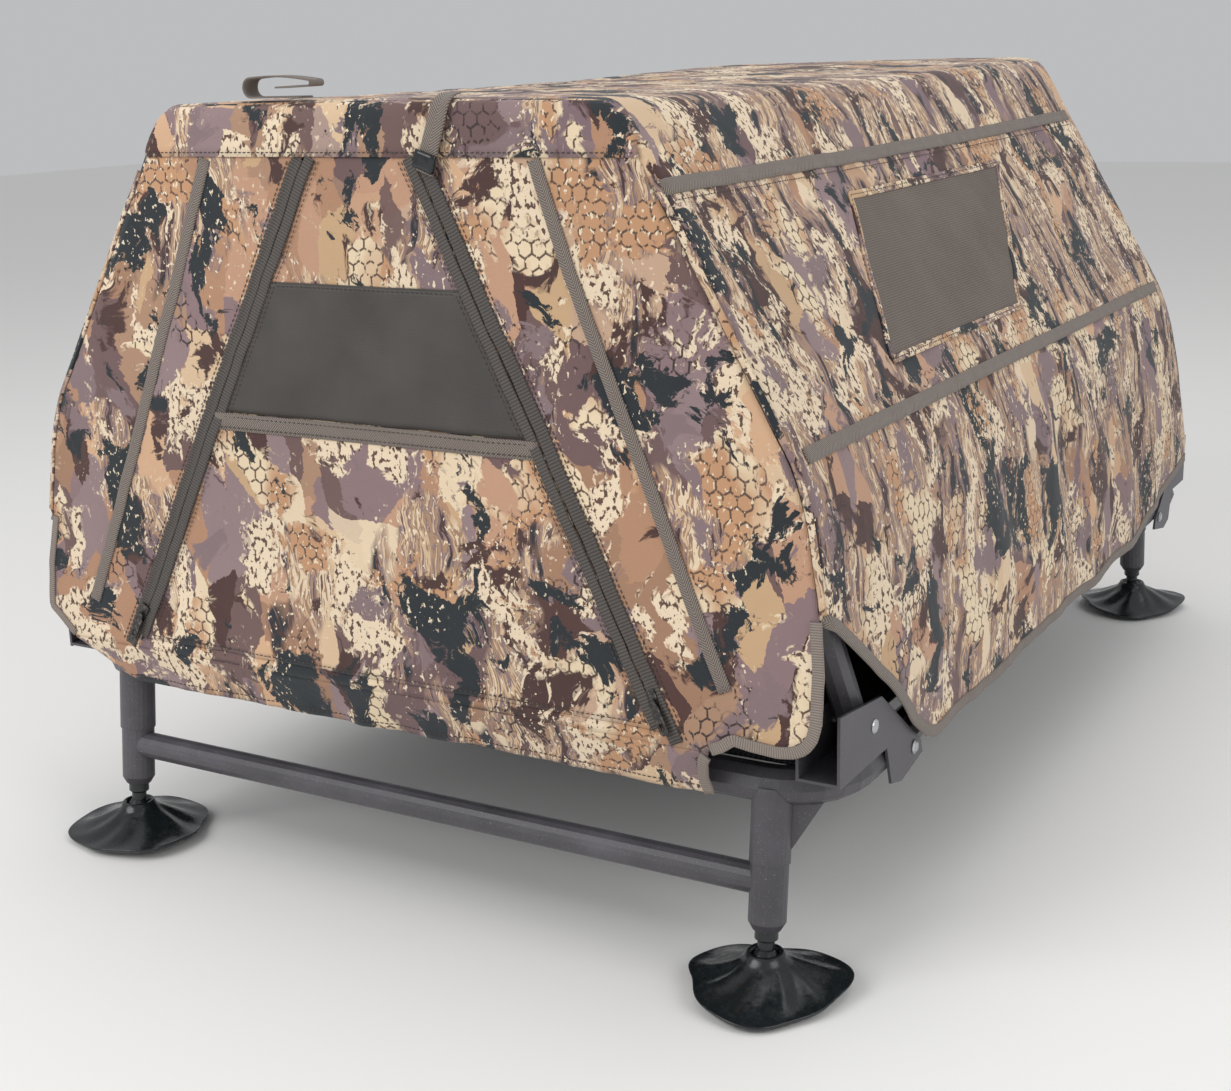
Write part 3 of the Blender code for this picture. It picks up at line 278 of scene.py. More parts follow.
for corner in ("front_left", "front_right", "rear_left", "rear_right"):
    stud_x = 0.300 if "right" in corner else -0.300
    stud_y = 0.50564 if "rear" in corner else -0.50564
    turn = radians(35) if "right" in corner else radians(-35)
    around, points, faces = 96, [], []
    rings = [
        (0.0, 0.0098, crown - 0.003),
        (0.0, 0.0112, crown),
        (0.0, 0.0132, crown - 0.0006),
        (0.0, boss, crown - 0.004),
    ]
    shares = [0.05, 0.12, 0.2, 0.3, 0.4, 0.5, 0.6, 0.7, 0.8, 0.88, 0.94, 0.98, 1.0]
    for ring, inner, height in rings:
        for i in range(around):
            angle = 2 * pi * i / around
            points.append((inner * cos(angle), inner * sin(angle), height))
    for share in shares:
        for i in range(around):
            angle = 2 * pi * i / around
            rim = pad_radius + lobe * cos(3 * angle) + 0.0012 * cos(7 * angle + 0.6)
            out = boss + (rim - boss) * share
            fold = 0.0011 * sin(9 * angle + 3 * share) * sin(pi * share)
            height = rim_height + (crown - rim_height) * (1 - share) ** 1.35 * 0.80
            height += wave * share**2 * (1 + cos(2 * angle)) / 2 + fold
            points.append((out * cos(angle), out * sin(angle), height))
    for inset, drop in ((0.0004, 0.0016), (0.0018, 0.0034), (0.006, 0.0043)):
        for i in range(around):
            angle = 2 * pi * i / around
            rim = pad_radius + lobe * cos(3 * angle) + 0.0012 * cos(7 * angle + 0.6) - inset
            height = rim_height + wave * (1 + cos(2 * angle)) / 2 - drop
            points.append((rim * cos(angle), rim * sin(angle), height))
    for inner, height in ((flat, 0.0), (0.02, 0.0004)):
        for i in range(around):
            angle = 2 * pi * i / around
            points.append((inner * cos(angle), inner * sin(angle), height))
    count = len(points) // around
    for ring in range(count - 1):
        for i in range(around):
            j = (i + 1) % around
            faces.append(
                (ring * around + i, (ring + 1) * around + i, (ring + 1) * around + j, ring * around + j)
            )
    faces.append(tuple(reversed(range((count - 1) * around, count * around))))
    spun = [
        (
            stud_x + x * cos(turn) - y * sin(turn), stud_y + x * sin(turn) + y * cos(turn), z
        ) for x, y, z in points
    ]
    foot = place_mesh("mud_foot_" + corner, spun, faces, black)
    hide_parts("foot_pad_" + corner)
    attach(foot, f"foot_pad_{corner}_body")


# Cover cloth: woven polyester, roller printed with a marsh camouflage and coated inside. The print is dull
# and painterly: ragged tan, cream and brown patches, slate blots, honeycomb and net screens, and pale
# flecks.
print_cloth, tree, shader = finish_of("printed_cover_cloth", "#b99b7c", 0.86, ior=1.45)
shader.inputs["Sheen Weight"].default_value = 0.12
shader.inputs["Sheen Roughness"].default_value = 0.6
place = add(tree, "TexCoord").outputs["UV"]


def drifted(place, scale, reach, detail=2.0, offset=0.0):
    """Cloth coordinates pushed about by a noise of that many waves a metre, so that a print gets ragged
    edges."""
    moved = add(tree, "VectorMath", {"operation": "ADD"}, {0: place, 1: (offset, offset * 0.7, 0.0)})
    push = add(
        tree,
        "TexNoise",
        None,
        {"Vector": moved.outputs[0], "Scale": scale, "Detail": detail, "Roughness": 0.6},
    )
    return add(
        tree, "VectorMath", {"operation": "MULTIPLY_ADD"}, {
            0: push.outputs["Color"], 1: (reach, reach, 0.0), 2: place
        }
    ).outputs[0]


def scaled(place, across, along, offset=0.0):
    """Cloth coordinates scaled each way."""
    return add(
        tree, "VectorMath", {"operation": "MULTIPLY_ADD"}, {
            0: place, 1: (across, along, 1.0), 2: (offset, offset, 0.0)
        }
    ).outputs[0]


def over(share, below, above):
    """One colour printed over another where share is 1."""
    return add(tree, "Mix", {"data_type": "RGBA"}, {0: share, 6: below, 7: above}).outputs[2]


def cut(value, edge, width=0.012):
    """A screen that is open where value passes edge."""
    return add(
        tree, "MapRange", None, {"Value": value, "From Min": edge - width, "From Max": edge + width}
    ).outputs["Result"]


def both(a, b):
    """Two screens laid over each other."""
    return add(tree, "Math", {"operation": "MULTIPLY"}, {0: a, 1: b}).outputs[0]


ragged = drifted(drifted(place, 10.0, 0.090), 70.0, 0.022, 4.0, 3.0)
# Ground patches about 70 mm across.
ground = add(
    tree, "TexVoronoi", {"voronoi_dimensions": "2D"}, {"Vector": scaled(ragged, 1.0, 0.8), "Scale": 14.5}
)
ground_pick = add(tree, "SeparateColor", None, {"Color": ground.outputs["Color"]})
colour = add(
    tree,
    "ValToRGB",
    {
        "stops": [
            (0.0, "#c0967a"),
            (0.14, "#a27c62"),
            (0.27, "#d9bb98"),
            (0.36, "#8c7375"),
            (0.52, "#c5a48a"),
            (0.62, "#6f5656"),
            (0.74, "#ab876d"),
            (0.85, "#7f686d"),
            (0.95, "#523631"),
        ]
    },
    {"Fac": ground_pick.outputs["Red"]},
)
colour.color_ramp.interpolation = "CONSTANT"
colour = colour.outputs["Color"]
# Brush dabs about 22 by 65 mm, laid up the cloth, on two dabs in five.
swept = drifted(drifted(place, 7.0, 0.12, offset=5.0), 90.0, 0.014, 4.0, 8.0)
dabs = add(
    tree,
    "TexVoronoi",
    {"voronoi_dimensions": "2D"},
    {"Vector": scaled(swept, 1.0, 0.36, 4.0), "Scale": 42.0},
)
dab_pick = add(tree, "SeparateColor", None, {"Color": dabs.outputs["Color"]})
dab_colour = add(
    tree,
    "ValToRGB",
    {
        "stops": [
            (0.0, "#e5cfb0"),
            (0.16, "#b1876a"),
            (0.34, "#6f5653"),
            (0.48, "#937c7d"),
            (0.62, "#d3ab88"),
            (0.76, "#4b2f2b"),
            (0.88, "#c7a57f"),
        ]
    },
    {"Fac": dab_pick.outputs["Red"]},
)
dab_colour.color_ramp.interpolation = "CONSTANT"
colour = over(cut(dab_pick.outputs["Green"], 0.60), colour, dab_colour.outputs["Color"])
# Wavy reed streaks 4 to 12 mm wide. They run over most of the part of the roll that the sides and roof are
# cut from, and over a fifth of the part that the ends are cut from.
reed_place = scaled(drifted(drifted(place, 6.0, 0.075, offset=2.0), 28.0, 0.016, 2.0, 6.0), 1.0, 0.15)
reeds = add(
    tree,
    "TexNoise",
    {"noise_dimensions": "2D"},
    {"Vector": reed_place, "Scale": 62.0, "Detail": 4.0, "Roughness": 0.6},
)
reed_colour = add(
    tree,
    "ValToRGB",
    {
        "stops": [
            (0.0, "#232a30"),
            (0.375, "#4d3633"),
            (0.415, "#836d6e"),
            (0.455, "#ab896d"),
            (0.495, "#8a7472"),
            (0.525, "#d5b795"),
            (0.565, "#9f7f66"),
            (0.605, "#e3ccae"),
            (0.66, "#6c5350"),
        ]
    },
    {"Fac": reeds.outputs["Fac"]},
)
reed_colour.color_ramp.interpolation = "CONSTANT"
spread = add(
    tree,
    "TexNoise",
    {"noise_dimensions": "2D"},
    {"Vector": scaled(place, 1.0, 0.6, 7.0), "Scale": 13.0, "Detail": 3.0},
)
roll_side = add(
    tree,
    "Math",
    {"operation": "LESS_THAN"},
    {0: add(tree, "SeparateXYZ", None, {0: place}).outputs["X"], 1: 10.5},
)
reed_share = add(
    tree,
    "Math",
    {"operation": "MULTIPLY_ADD"},
    {0: roll_side.outputs[0], 1: 0.125, 2: spread.outputs["Fac"]},
)
colour = over(cut(reed_share.outputs[0], 0.585, 0.02), colour, reed_colour.outputs["Color"])
# Burgundy-brown blots about 55 mm across.
blots = add(
    tree,
    "TexNoise",
    {"noise_dimensions": "2D"},
    {"Vector": scaled(ragged, 1.0, 0.8, 11.0), "Scale": 14.0, "Detail": 5.0, "Roughness": 0.62},
)
colour = over(cut(blots.outputs["Fac"], 0.605), colour, linear("#4a302c"))
colour = over(cut(blots.outputs["Fac"], 0.385, -0.012), colour, linear("#857072"))
# Cream washes with small dark specks.
wash = add(
    tree,
    "TexNoise",
    {"noise_dimensions": "2D"},
    {"Vector": scaled(ragged, 1.0, 0.7, 27.0), "Scale": 16.0, "Detail": 5.0, "Roughness": 0.66},
)
specks = add(
    tree,
    "TexNoise",
    {"noise_dimensions": "2D"},
    {"Vector": scaled(place, 1.0, 0.7, 9.0), "Scale": 260.0, "Detail": 3.0},
)
cream = over(cut(specks.outputs["Fac"], 0.42, -0.02), linear("#ead5b8"), linear("#5f473c"))
colour = over(cut(wash.outputs["Fac"], 0.575), colour, cream)
# Honeycomb screen, 11 mm from cell to cell: cream cells with fine broken brown walls.
cell = drifted(scaled(place, 1.0, 1.0, 20.0), 16.0, 0.010, offset=1.0)
pitch = 0.0108
step, half = (1.0, 1.7320508, 1.0), (0.5, 0.8660254, 0.0)
grid = add(tree, "VectorMath", {"operation": "SCALE"}, {0: cell, "Scale": 1 / pitch}).outputs[0]
first = add(tree, "VectorMath", {"operation": "MODULO"}, {0: grid, 1: step}).outputs[0]
first = add(tree, "VectorMath", {"operation": "SUBTRACT"}, {0: first, 1: half}).outputs[0]
second = add(tree, "VectorMath", {"operation": "SUBTRACT"}, {0: grid, 1: half}).outputs[0]
second = add(tree, "VectorMath", {"operation": "MODULO"}, {0: second, 1: step}).outputs[0]
second = add(tree, "VectorMath", {"operation": "SUBTRACT"}, {0: second, 1: half}).outputs[0]
first_far = add(tree, "VectorMath", {"operation": "DOT_PRODUCT"}, {0: first, 1: first}).outputs["Value"]
second_far = add(tree, "VectorMath", {"operation": "DOT_PRODUCT"}, {0: second, 1: second}).outputs["Value"]
nearer = add(tree, "Math", {"operation": "GREATER_THAN"}, {0: first_far, 1: second_far}).outputs[0]
inside = add(tree, "Mix", {"data_type": "VECTOR"}, {0: nearer, 4: first, 5: second}).outputs[1]
inside = add(tree, "VectorMath", {"operation": "ABSOLUTE"}, {0: inside}).outputs[0]
slant = add(
    tree, "VectorMath", {"operation": "DOT_PRODUCT"}, {0: inside, 1: (0.5, 0.8660254, 0.0)}
).outputs["Value"]
upright = add(tree, "SeparateXYZ", None, {0: inside}).outputs["X"]
wall = cut(add(tree, "Math", {"operation": "MAXIMUM"}, {0: slant, 1: upright}).outputs[0], 0.425, 0.03)
wall = both(wall, cut(specks.outputs["Fac"], 0.44, 0.03))
comb_area = add(
    tree,
    "TexNoise",
    {"noise_dimensions": "2D"},
    {"Vector": scaled(ragged, 1.0, 1.0, 15.0), "Scale": 11.0, "Detail": 5.0, "Roughness": 0.6},
)
comb_tint = over(cut(spread.outputs["Fac"], 0.50, 0.05), linear("#e8d3b2"), linear("#c2946f"))
comb = over(wall, comb_tint, linear("#5d473b"))
colour = over(cut(comb_area.outputs["Fac"], 0.60), colour, comb)
shadow_walls = both(wall, cut(comb_area.outputs["Fac"], 0.37, -0.02))
colour = over(shadow_walls, colour, linear("#3b2d2a"))
# Slate-black blots with ragged edges, 20 to 60 mm across.
slate = add(
    tree,
    "TexNoise",
    {"noise_dimensions": "2D"},
    {
        "Vector": scaled(ragged, 1.0, 0.85, 43.0),
        "Scale": 13.0,
        "Detail": 7.0,
        "Roughness": 0.64,
        "Distortion": 0.25,
    },
)
colour = over(cut(slate.outputs["Fac"], 0.592, 0.006), colour, linear("#20272c"))
# Pale flecks 2 to 3 mm across.
colour = over(
    both(cut(specks.outputs["Fac"], 0.665, 0.012), cut(spread.outputs["Fac"], 0.52, 0.03)),
    colour,
    linear("#ead9bd"),
)
fade = add(tree, "TexNoise", None, {"Vector": place, "Scale": 3.5, "Detail": 2.0})
worn = add(
    tree,
    "MapRange",
    None,
    {"Value": fade.outputs["Fac"], "From Min": 0.3, "From Max": 0.7, "To Min": 0.90, "To Max": 1.04},
)
colour = add(tree, "HueSaturation", None, {"Value": worn.outputs["Result"], "Color": colour}).outputs["Color"]
tree.links.new(colour, shader.inputs["Base Color"])
# The real threads are 0.5 mm apart. They are drawn 1.7 mm apart, so that the weave shows.
warp = add(tree, "TexWave", {"bands_direction": "X"}, {"Vector": place, "Scale": 185.0})
weft = add(tree, "TexWave", {"bands_direction": "Y"}, {"Vector": place, "Scale": 185.0})
weave = add(tree, "Math", {"operation": "ADD"}, {0: warp.outputs["Fac"], 1: weft.outputs["Fac"]})
crease = add(tree, "TexNoise", None, {"Vector": place, "Scale": 26.0, "Detail": 4.0, "Roughness": 0.55})
soft = add(tree, "Bump", None, {"Height": crease.outputs["Fac"], "Strength": 0.35, "Distance": 0.006})
relief = add(
    tree, "Bump", None, {
        "Height": weave.outputs[0], "Strength": 0.18, "Distance": 0.0004, "Normal": soft.outputs["Normal"]
    }
)
tree.links.new(relief.outputs["Normal"], shader.inputs["Normal"])


# Deck: a sheet of dark mesh cloth hemmed all round and stretched inside the rails over the bearer tube.
deck_cloth, tree, shader = finish_of("deck_mesh_cloth", "#3a3c3c", 0.8)
place = add(tree, "TexCoord").outputs["UV"]
# Mesh holes are 1.5 mm apart in the real cloth, and are drawn 4 mm apart.
holes = add(
    tree, "TexVoronoi", {"voronoi_dimensions": "2D"}, {"Vector": place, "Scale": 250.0, "Randomness": 0.0}
)
tone = add(
    tree, "ValToRGB", {"stops": [(0.2, "#1d1f20"), (0.4, "#414445")]}, {"Fac": holes.outputs["Distance"]}
)
tree.links.new(tone.outputs["Color"], shader.inputs["Base Color"])
relief = add(tree, "Bump", None, {"Height": holes.outputs["Distance"], "Strength": 0.5, "Distance": 0.0006})
tree.links.new(relief.outputs["Normal"], shader.inputs["Normal"])


def along(line, share):
    """The point that far along a drawn line, by its length."""
    lengths = [hypot(b[0] - a[0], b[1] - a[1]) for a, b in zip(line, line[1:])]
    left = share * sum(lengths)
    for (a, b), length in zip(zip(line, line[1:]), lengths):
        if left <= length or b is line[-1]:
            part = min(1.0, left / length) if length else 0.0
            return a[0] + (b[0] - a[0]) * part, a[1] + (b[1] - a[1]) * part
        left -= length


def panel(name, finish, cutting, spacing, lay, thickness=0.0012, shift=(0.0, 0.0)):
    """A cut piece of cloth. cutting is its four edges, foot and head from left to right, left and right
    from foot to head, and lay gives the place and the outward direction of a point of the cut."""
    foot, head, left, right = cutting
    wide = max(sum(hypot(b[0] - a[0], b[1] - a[1]) for a, b in zip(edge, edge[1:])) for edge in (foot, head))
    tall = max(sum(hypot(b[0] - a[0], b[1] - a[1]) for a, b in zip(edge, edge[1:])) for edge in (left, right))
    columns, rows = max(2, ceil(wide / spacing)), max(2, ceil(tall / spacing))
    foots = [along(foot, i / columns) for i in range(columns + 1)]
    heads = [along(head, i / columns) for i in range(columns + 1)]
    cuts, laid, outs = [], [], []
    for j in range(rows + 1):
        v = j / rows
        l, r = along(left, v), along(right, v)
        for i in range(columns + 1):
            u = i / columns
            point = [
                foots[i][k] * (1 - v)
                + heads[i][k] * v
                + l[k] * (1 - u)
                + r[k] * u
                - foots[0][k] * (1 - u) * (1 - v)
                - foots[-1][k] * u * (1 - v)
                - heads[0][k] * (1 - u) * v
                - heads[-1][k] * u * v
                for k in (0, 1)
            ]
            where, out = lay(*point)
            cuts.append((point[0] + shift[0], point[1] + shift[1]))
            laid.append(Vector(where))
            outs.append(Vector(out))
    width = columns + 1
    normals = []
    for j in range(rows + 1):
        for i in range(width):
            run = laid[j * width + min(i + 1, columns)] - laid[j * width + max(i - 1, 0)]
            rise = laid[min(j + 1, rows) * width + i] - laid[max(j - 1, 0) * width + i]
            normal = run.cross(rise)
            out = outs[j * width + i]
            normal = normal.normalized() if normal.length > 1e-12 else out
            normals.append(normal if normal.dot(out) > 0 else -normal)
    total = len(laid)
    points = laid + [p - n * thickness for p, n in zip(laid, normals)]
    middle = (rows // 2) * width + columns // 2
    turn = (laid[middle + 1] - laid[middle]).cross(laid[middle + width] - laid[middle]).dot(outs[middle]) > 0
    faces = []
    for j in range(rows):
        for i in range(columns):
            a = j * width + i
            face = (a, a + 1, a + width + 1, a + width)
            faces.append(face if turn else face[::-1])
            faces.append(tuple(x + total for x in (face[::-1] if turn else face)))
    border = list(range(columns)) + [j * width + columns for j in range(rows)]
    border += [rows * width + i for i in range(columns, 0, -1)] + [j * width for j in range(rows, 0, -1)]
    for a, b in zip(border, border[1:] + border[:1]):
        face = (b, a, a + total, b + total)
        faces.append(face if turn else face[::-1])
    return place_mesh(name, points, faces, finish, cuts + cuts)


def cloth(replaced):
    """Hides the solids that a piece of cloth stands for, if it is given any."""
    if replaced:
        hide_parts(*replaced)


low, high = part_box("deck")
deck = panel(
    "deck_sheet",
    deck_cloth,
    (
        [(low.x, low.y), (high.x, low.y)],
        [(low.x, high.y), (high.x, high.y)],
        [(low.x, low.y), (low.x, high.y)],
        [(high.x, low.y), (high.x, high.y)],
    ),
    0.02,
    lambda x, y: ((x, y, high.z - 0.0008 * cos(x * 4) ** 2), (0, 0, 1)),
    0.0025,
)
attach(deck, "stand")
cloth(["deck"])


# Side walls and roof: one long skin of the cover cloth over both hoops, seamed along the roof edges. The
# skin is pulled tight over the hoops, hangs loose below the shoulders, and is turned in a small round at
# each end.
front_top, rear_top = -0.5075, 0.4275
front_high, rear_high = 0.617, 0.632
half_section = [
    (0.0, 0.617),
    (0.100, 0.6165),
    (0.160, 0.6160),
    (0.189, 0.6150),
    (0.1975, 0.6115),
    (0.2035, 0.606),
    (0.2115, 0.594),
    (0.2185, 0.582),
    (0.322, 0.4010),
    (0.331, 0.385),
    (0.3378, 0.366),
    (0.3435, 0.345),
    (0.3512, 0.300),
    (0.3612, 0.215),
    (0.3612, 0.140),
]
section_runs = [0.0]
for a, b in zip(half_section, half_section[1:]):
    section_runs.append(section_runs[-1] + hypot(b[0] - a[0], b[1] - a[1]))


def run_at(z):
    """How far down the skin from the ridge a height on the side comes."""
    for i in range(len(half_section) - 1, 0, -1):
        (x0, z0), (x1, z1) = half_section[i - 1], half_section[i]
        if z <= z0 and z0 > z1:
            return section_runs[i - 1] + (section_runs[i] - section_runs[i - 1]) * (z0 - z) / (z0 - z1)
    return 0.0


def section_at(run):
    """The half width and height that far down the skin from the ridge."""
    for i in range(1, len(section_runs)):
        if run <= section_runs[i] or i == len(section_runs) - 1:
            part = (run - section_runs[i - 1]) / (section_runs[i] - section_runs[i - 1])
            (x0, z0), (x1, z1) = half_section[i - 1], half_section[i]
            return x0 + (x1 - x0) * part, z0 + (z1 - z0) * part


def front_plane(z):
    """Where the front wall stands at that height."""
    return front_top - (front_high - z) * 0.0175 / 0.4345


def rear_plane(z):
    """Where the rear wall stands at that height."""
    return rear_top + (rear_high - z) * 0.0625 / 0.4495


def rounding(run, end):
    """The radius that the skin turns through at an end: small over the front hoop and at the roof's rear
    edge, and broad at the rear corners."""
    if end == "front":
        return 0.006
    return 0.0125 + 0.0175 * max(0.0, min(1.0, (abs(run) - 0.13) / 0.08))


def stand_off(x, y, z, run):
    """How far the skin stands off its hoops at a point: drape folds low down, puckers at seams, soft waves
    above."""
    far = abs(run)
    drape = max(0.0, min(1.0, (far - 0.45) / 0.12))
    ends = min(1.0, max(0.0, min(y + 0.50, 0.43 - y) / 0.08))
    waves = 0.0016 * noise.noise(Vector((x * 5, y * 7, z * 7)) + Vector((3.1, 0.4, 7.7)))
    folds = 0.0052 * noise.noise(Vector((y * 19 + 1.8 * z, z * 4.5, 2.0 + x))) * drape
    tension = 0.0022 * noise.noise(Vector(((y + z * 0.9) * 24, (y - z) * 5, 9.0))) * (0.35 + 0.65 * drape)
    crumple = 0.0011 * noise.noise(Vector((x * 42, y * 42, z * 42)))
    pucker = 0.0
    for seam in (run_at(0.5595), run_at(0.389)):
        pucker += exp(-abs(far - seam) / 0.012) * 0.0011 * noise.noise(Vector((y * 75, 1.0, seam * 9)))
    return 0.0006 + (waves + folds + tension + crumple) * (0.25 + 0.75 * ends) + pucker


def skin(y_run, run):
    """The place and outward direction on the skin: y_run runs along it, run down from the ridge, right side
    positive."""
    side = -1 if run < 0 else 1
    x, z = section_at(abs(run))
    x0, z0 = section_at(max(0.0, abs(run) - 0.006))
    x1, z1 = section_at(abs(run) + 0.006)
    if abs(run) > 0.02:
        x, z = (x0 + x1 + x) / 3, (z0 + z1 + z) / 3
    out = Vector((z0 - z1, 0, x1 - x0)).normalized()
    above = max(0.0, z - 0.385)
    front_y, rear_y = front_plane(z), rear_plane(z + above * 0.0647)
    front_turn, rear_turn = rounding(run, "front"), rounding(run, "rear")
    inset, y, lean = 0.0, y_run, 0.0
    if y_run < front_y + front_turn:
        angle = min(pi / 2, (front_y + front_turn - y_run) / front_turn)
        y, inset, lean = front_y + front_turn - front_turn * sin(angle), front_turn * (1 - cos(angle)), -angle
    if y_run > rear_y - rear_turn:
        angle = min(pi / 2, (y_run - rear_y + rear_turn) / rear_turn)
        y, inset, lean = rear_y - rear_turn + rear_turn * sin(angle), rear_turn * (1 - cos(angle)), angle
    z += above * 0.0647 * (y + 0.5075) / 0.935
    if z > 0.5:
        z -= 0.0042 * sin(pi * max(0.0, min(1.0, (y + 0.48) / 0.88))) * min(1.0, (z - 0.5) / 0.1)
    off = stand_off(x * side, y, z, run) - inset
    where = Vector((x + out.x * off, y, z + out.z * off))
    out = Vector((out.x * cos(lean), sin(lean), out.z * cos(lean)))
    return Vector((where.x * side, where.y, where.z)), Vector((out.x * side, out.y, out.z))


def end_run(run, end, whole=True):
    """Where along the skin its front or rear edge comes."""
    z = section_at(abs(run))[1]
    turn = rounding(run, end)
    reach = turn * (1 - pi / 2) if whole else 0.0
    if end == "front":
        return front_plane(z) + reach
    return rear_plane(z + max(0.0, z - 0.385) * 0.0647) - reach


side_hem = [
    (-0.5225, 0.2830),
    (-0.508, 0.2760),
    (-0.490, 0.2620),
    (-0.454, 0.2340),
    (-0.418, 0.2030),
    (-0.386, 0.1720),
    (-0.362, 0.1540),
    (-0.345, 0.1470),
    (-0.200, 0.1465),
    (0.0, 0.1485),
    (0.250, 0.1500),
    (0.330, 0.1650),
    (0.400, 0.1840),
    (0.460, 0.1915),
]
roof_seam, shoulder = run_at(0.558), run_at(0.389)


def level(run):
    """The two ends of the straight line along the skin at that distance round from its middle."""
    return [(end_run(run, "front"), run), (end_run(run, "rear"), run)]


def end_edge(foot, head, end, sign):
    """The skin's end between two distances round from its middle."""
    spaced = [foot + (head - foot) * i / 12 for i in range(13)]
    return [(end_run(run, end), sign * run) for run in spaced]


def folds(piece, part):
    """Gives a piece of the cover its own mesh and hangs it on the stand."""
    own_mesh(piece)
    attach(piece, "stand")


for side, sign in (("left", -1), ("right", 1)):
    hem = [(y, sign * run_at(z)) for y, z in side_hem]
    hem[0] = (end_run(hem[0][1], "front"), hem[0][1])
    rear_corner = run_at(0.196)
    hem.append((end_run(rear_corner, "rear"), sign * rear_corner))
    front_edge = end_edge(run_at(0.283), shoulder, "front", sign)
    front_edge[0] = hem[0]
    rear_edge = end_edge(rear_corner, shoulder, "rear", sign)
    lay = (4.0, 3.0 * sign + 4)
    lower = panel(
        "side_panel_lower_" + side, print_cloth, (
            hem, level(sign * shoulder), front_edge, rear_edge
        ), 0.0065, skin, shift=lay
    )
    cut_out = (
        level(sign * shoulder),
        level(sign * roof_seam),
        end_edge(shoulder, roof_seam, "front", sign),
        end_edge(shoulder, roof_seam, "rear", sign),
    )
    upper = panel("side_panel_upper_" + side, print_cloth, cut_out, 0.0065, skin, shift=lay)
    folds(lower, "lower")
    folds(upper, "upper")
    cloth(["side_wall_" + side])
    cloth([])

runs = [-roof_seam + 2 * roof_seam * i / 40 for i in range(41)]
roof = panel(
    "roof_panel",
    print_cloth,
    (
        [(end_run(run, "front"), run) for run in runs],
        [(end_run(run, "rear"), run) for run in runs],
        [(end_run(runs[0], "front"), runs[0]), (end_run(runs[0], "rear"), runs[0])],
        [(end_run(runs[-1], "front"), runs[-1]), (end_run(runs[-1], "rear"), runs[-1])],
    ),
    0.0065,
    skin,
    shift=(8.0, 9.0),
)
folds(roof, "upper")
cloth(["roof"])


# Rear wall: one plain panel of the cover cloth seamed into the skin all round, with its own skirt below the
# rail.
def skin_edge(end, foot):
    """The outline that the skin's end draws, from that height on the left round to the right."""
    reach = run_at(foot)
    drawn = []
    for i in range(121):
        run = -reach + 2 * reach * i / 120
        where = skin(end_run(run, end), run)[0]
        drawn.append((where.x, where.z))
    return drawn


rear_outline = skin_edge("rear", 0.196)
quarter = [i for i, (x, z) in enumerate(rear_outline) if z > 0.618]
left_line = rear_outline[: quarter[0] + 1]
right_line = list(reversed(rear_outline[quarter[-1] :]))
head_line = rear_outline[quarter[0] : quarter[-1] + 1]


def rear_lay(x, z):
    """The rear wall's place and outward direction."""
    free = min(1.0, max(0.0, min(0.31 - abs(x), z - 0.19, 0.62 - z) / 0.08))
    puff = 0.004 * free * noise.noise(Vector((x * 6, 5.0, z * 6))) + 0.0012 * noise.noise(
        Vector((x * 34, 8.0, z * 34))
    )
    return (x, rear_plane(z) + 0.0008 + puff * (0.3 + 0.7 * free), z), (0, 1, 0)


rear_wall = panel(
    "rear_panel",
    print_cloth,
    (
        [left_line[0], (-0.322, 0.190), (-0.300, 0.1825), (0.300, 0.1825), (0.322, 0.190), right_line[0]],
        head_line,
        left_line,
        right_line,
    ),
    0.008,
    rear_lay,
    shift=(12.0, 3.0),
)
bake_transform(rear_wall)
cloth(["rear_wall"])


# Front wall: left and right panels of the cover cloth beside the door and a strip under it, sewn as one
# piece and seamed into the skin. Its right lower corner hangs free as a rounded flap. The left one is cut
# on the slant.
door_x, zip_top, zip_foot = -0.012, 0.051, 0.249


def zip_x(z, sign, beyond=0.0):
    """Where a zip's coil comes at that height. beyond is how far outboard of it."""
    return door_x + sign * (zip_top + (zip_foot - zip_top) * (0.578 - z) / (0.578 - 0.192) + beyond)


def front_lay(x, z, proud=0.0):
    """The front wall's place and outward direction."""
    free = min(1.0, max(0.0, min(0.345 - abs(x), 0.60 - z) / 0.07))
    puff = 0.0028 * free * noise.noise(Vector((x * 7 + 2, 1.0, z * 5)))
    puff += 0.0016 * noise.noise(Vector((x * 21 + z * 8, 4.0, z * 13 - x * 6))) * (0.4 + 0.6 * free)
    puff += 0.0008 * noise.noise(Vector((x * 48, 6.0, z * 48)))
    for sign in (-1, 1):
        near = abs(x - zip_x(min(z, 0.578), sign))
        puff += exp(-near / 0.014) * 0.0010 * noise.noise(Vector((z * 70, 3.0, sign)))
    low = max(0.0, 0.25 - z) / 0.07
    corner = max(0.0, (x - 0.27) / 0.08) * low
    puff += 0.007 * corner * noise.noise(Vector((x * 24, 2.0, z * 15))) + 0.003 * corner
    return (x, front_plane(z) - 0.0008 - proud - puff, z), (0, -1, 0)


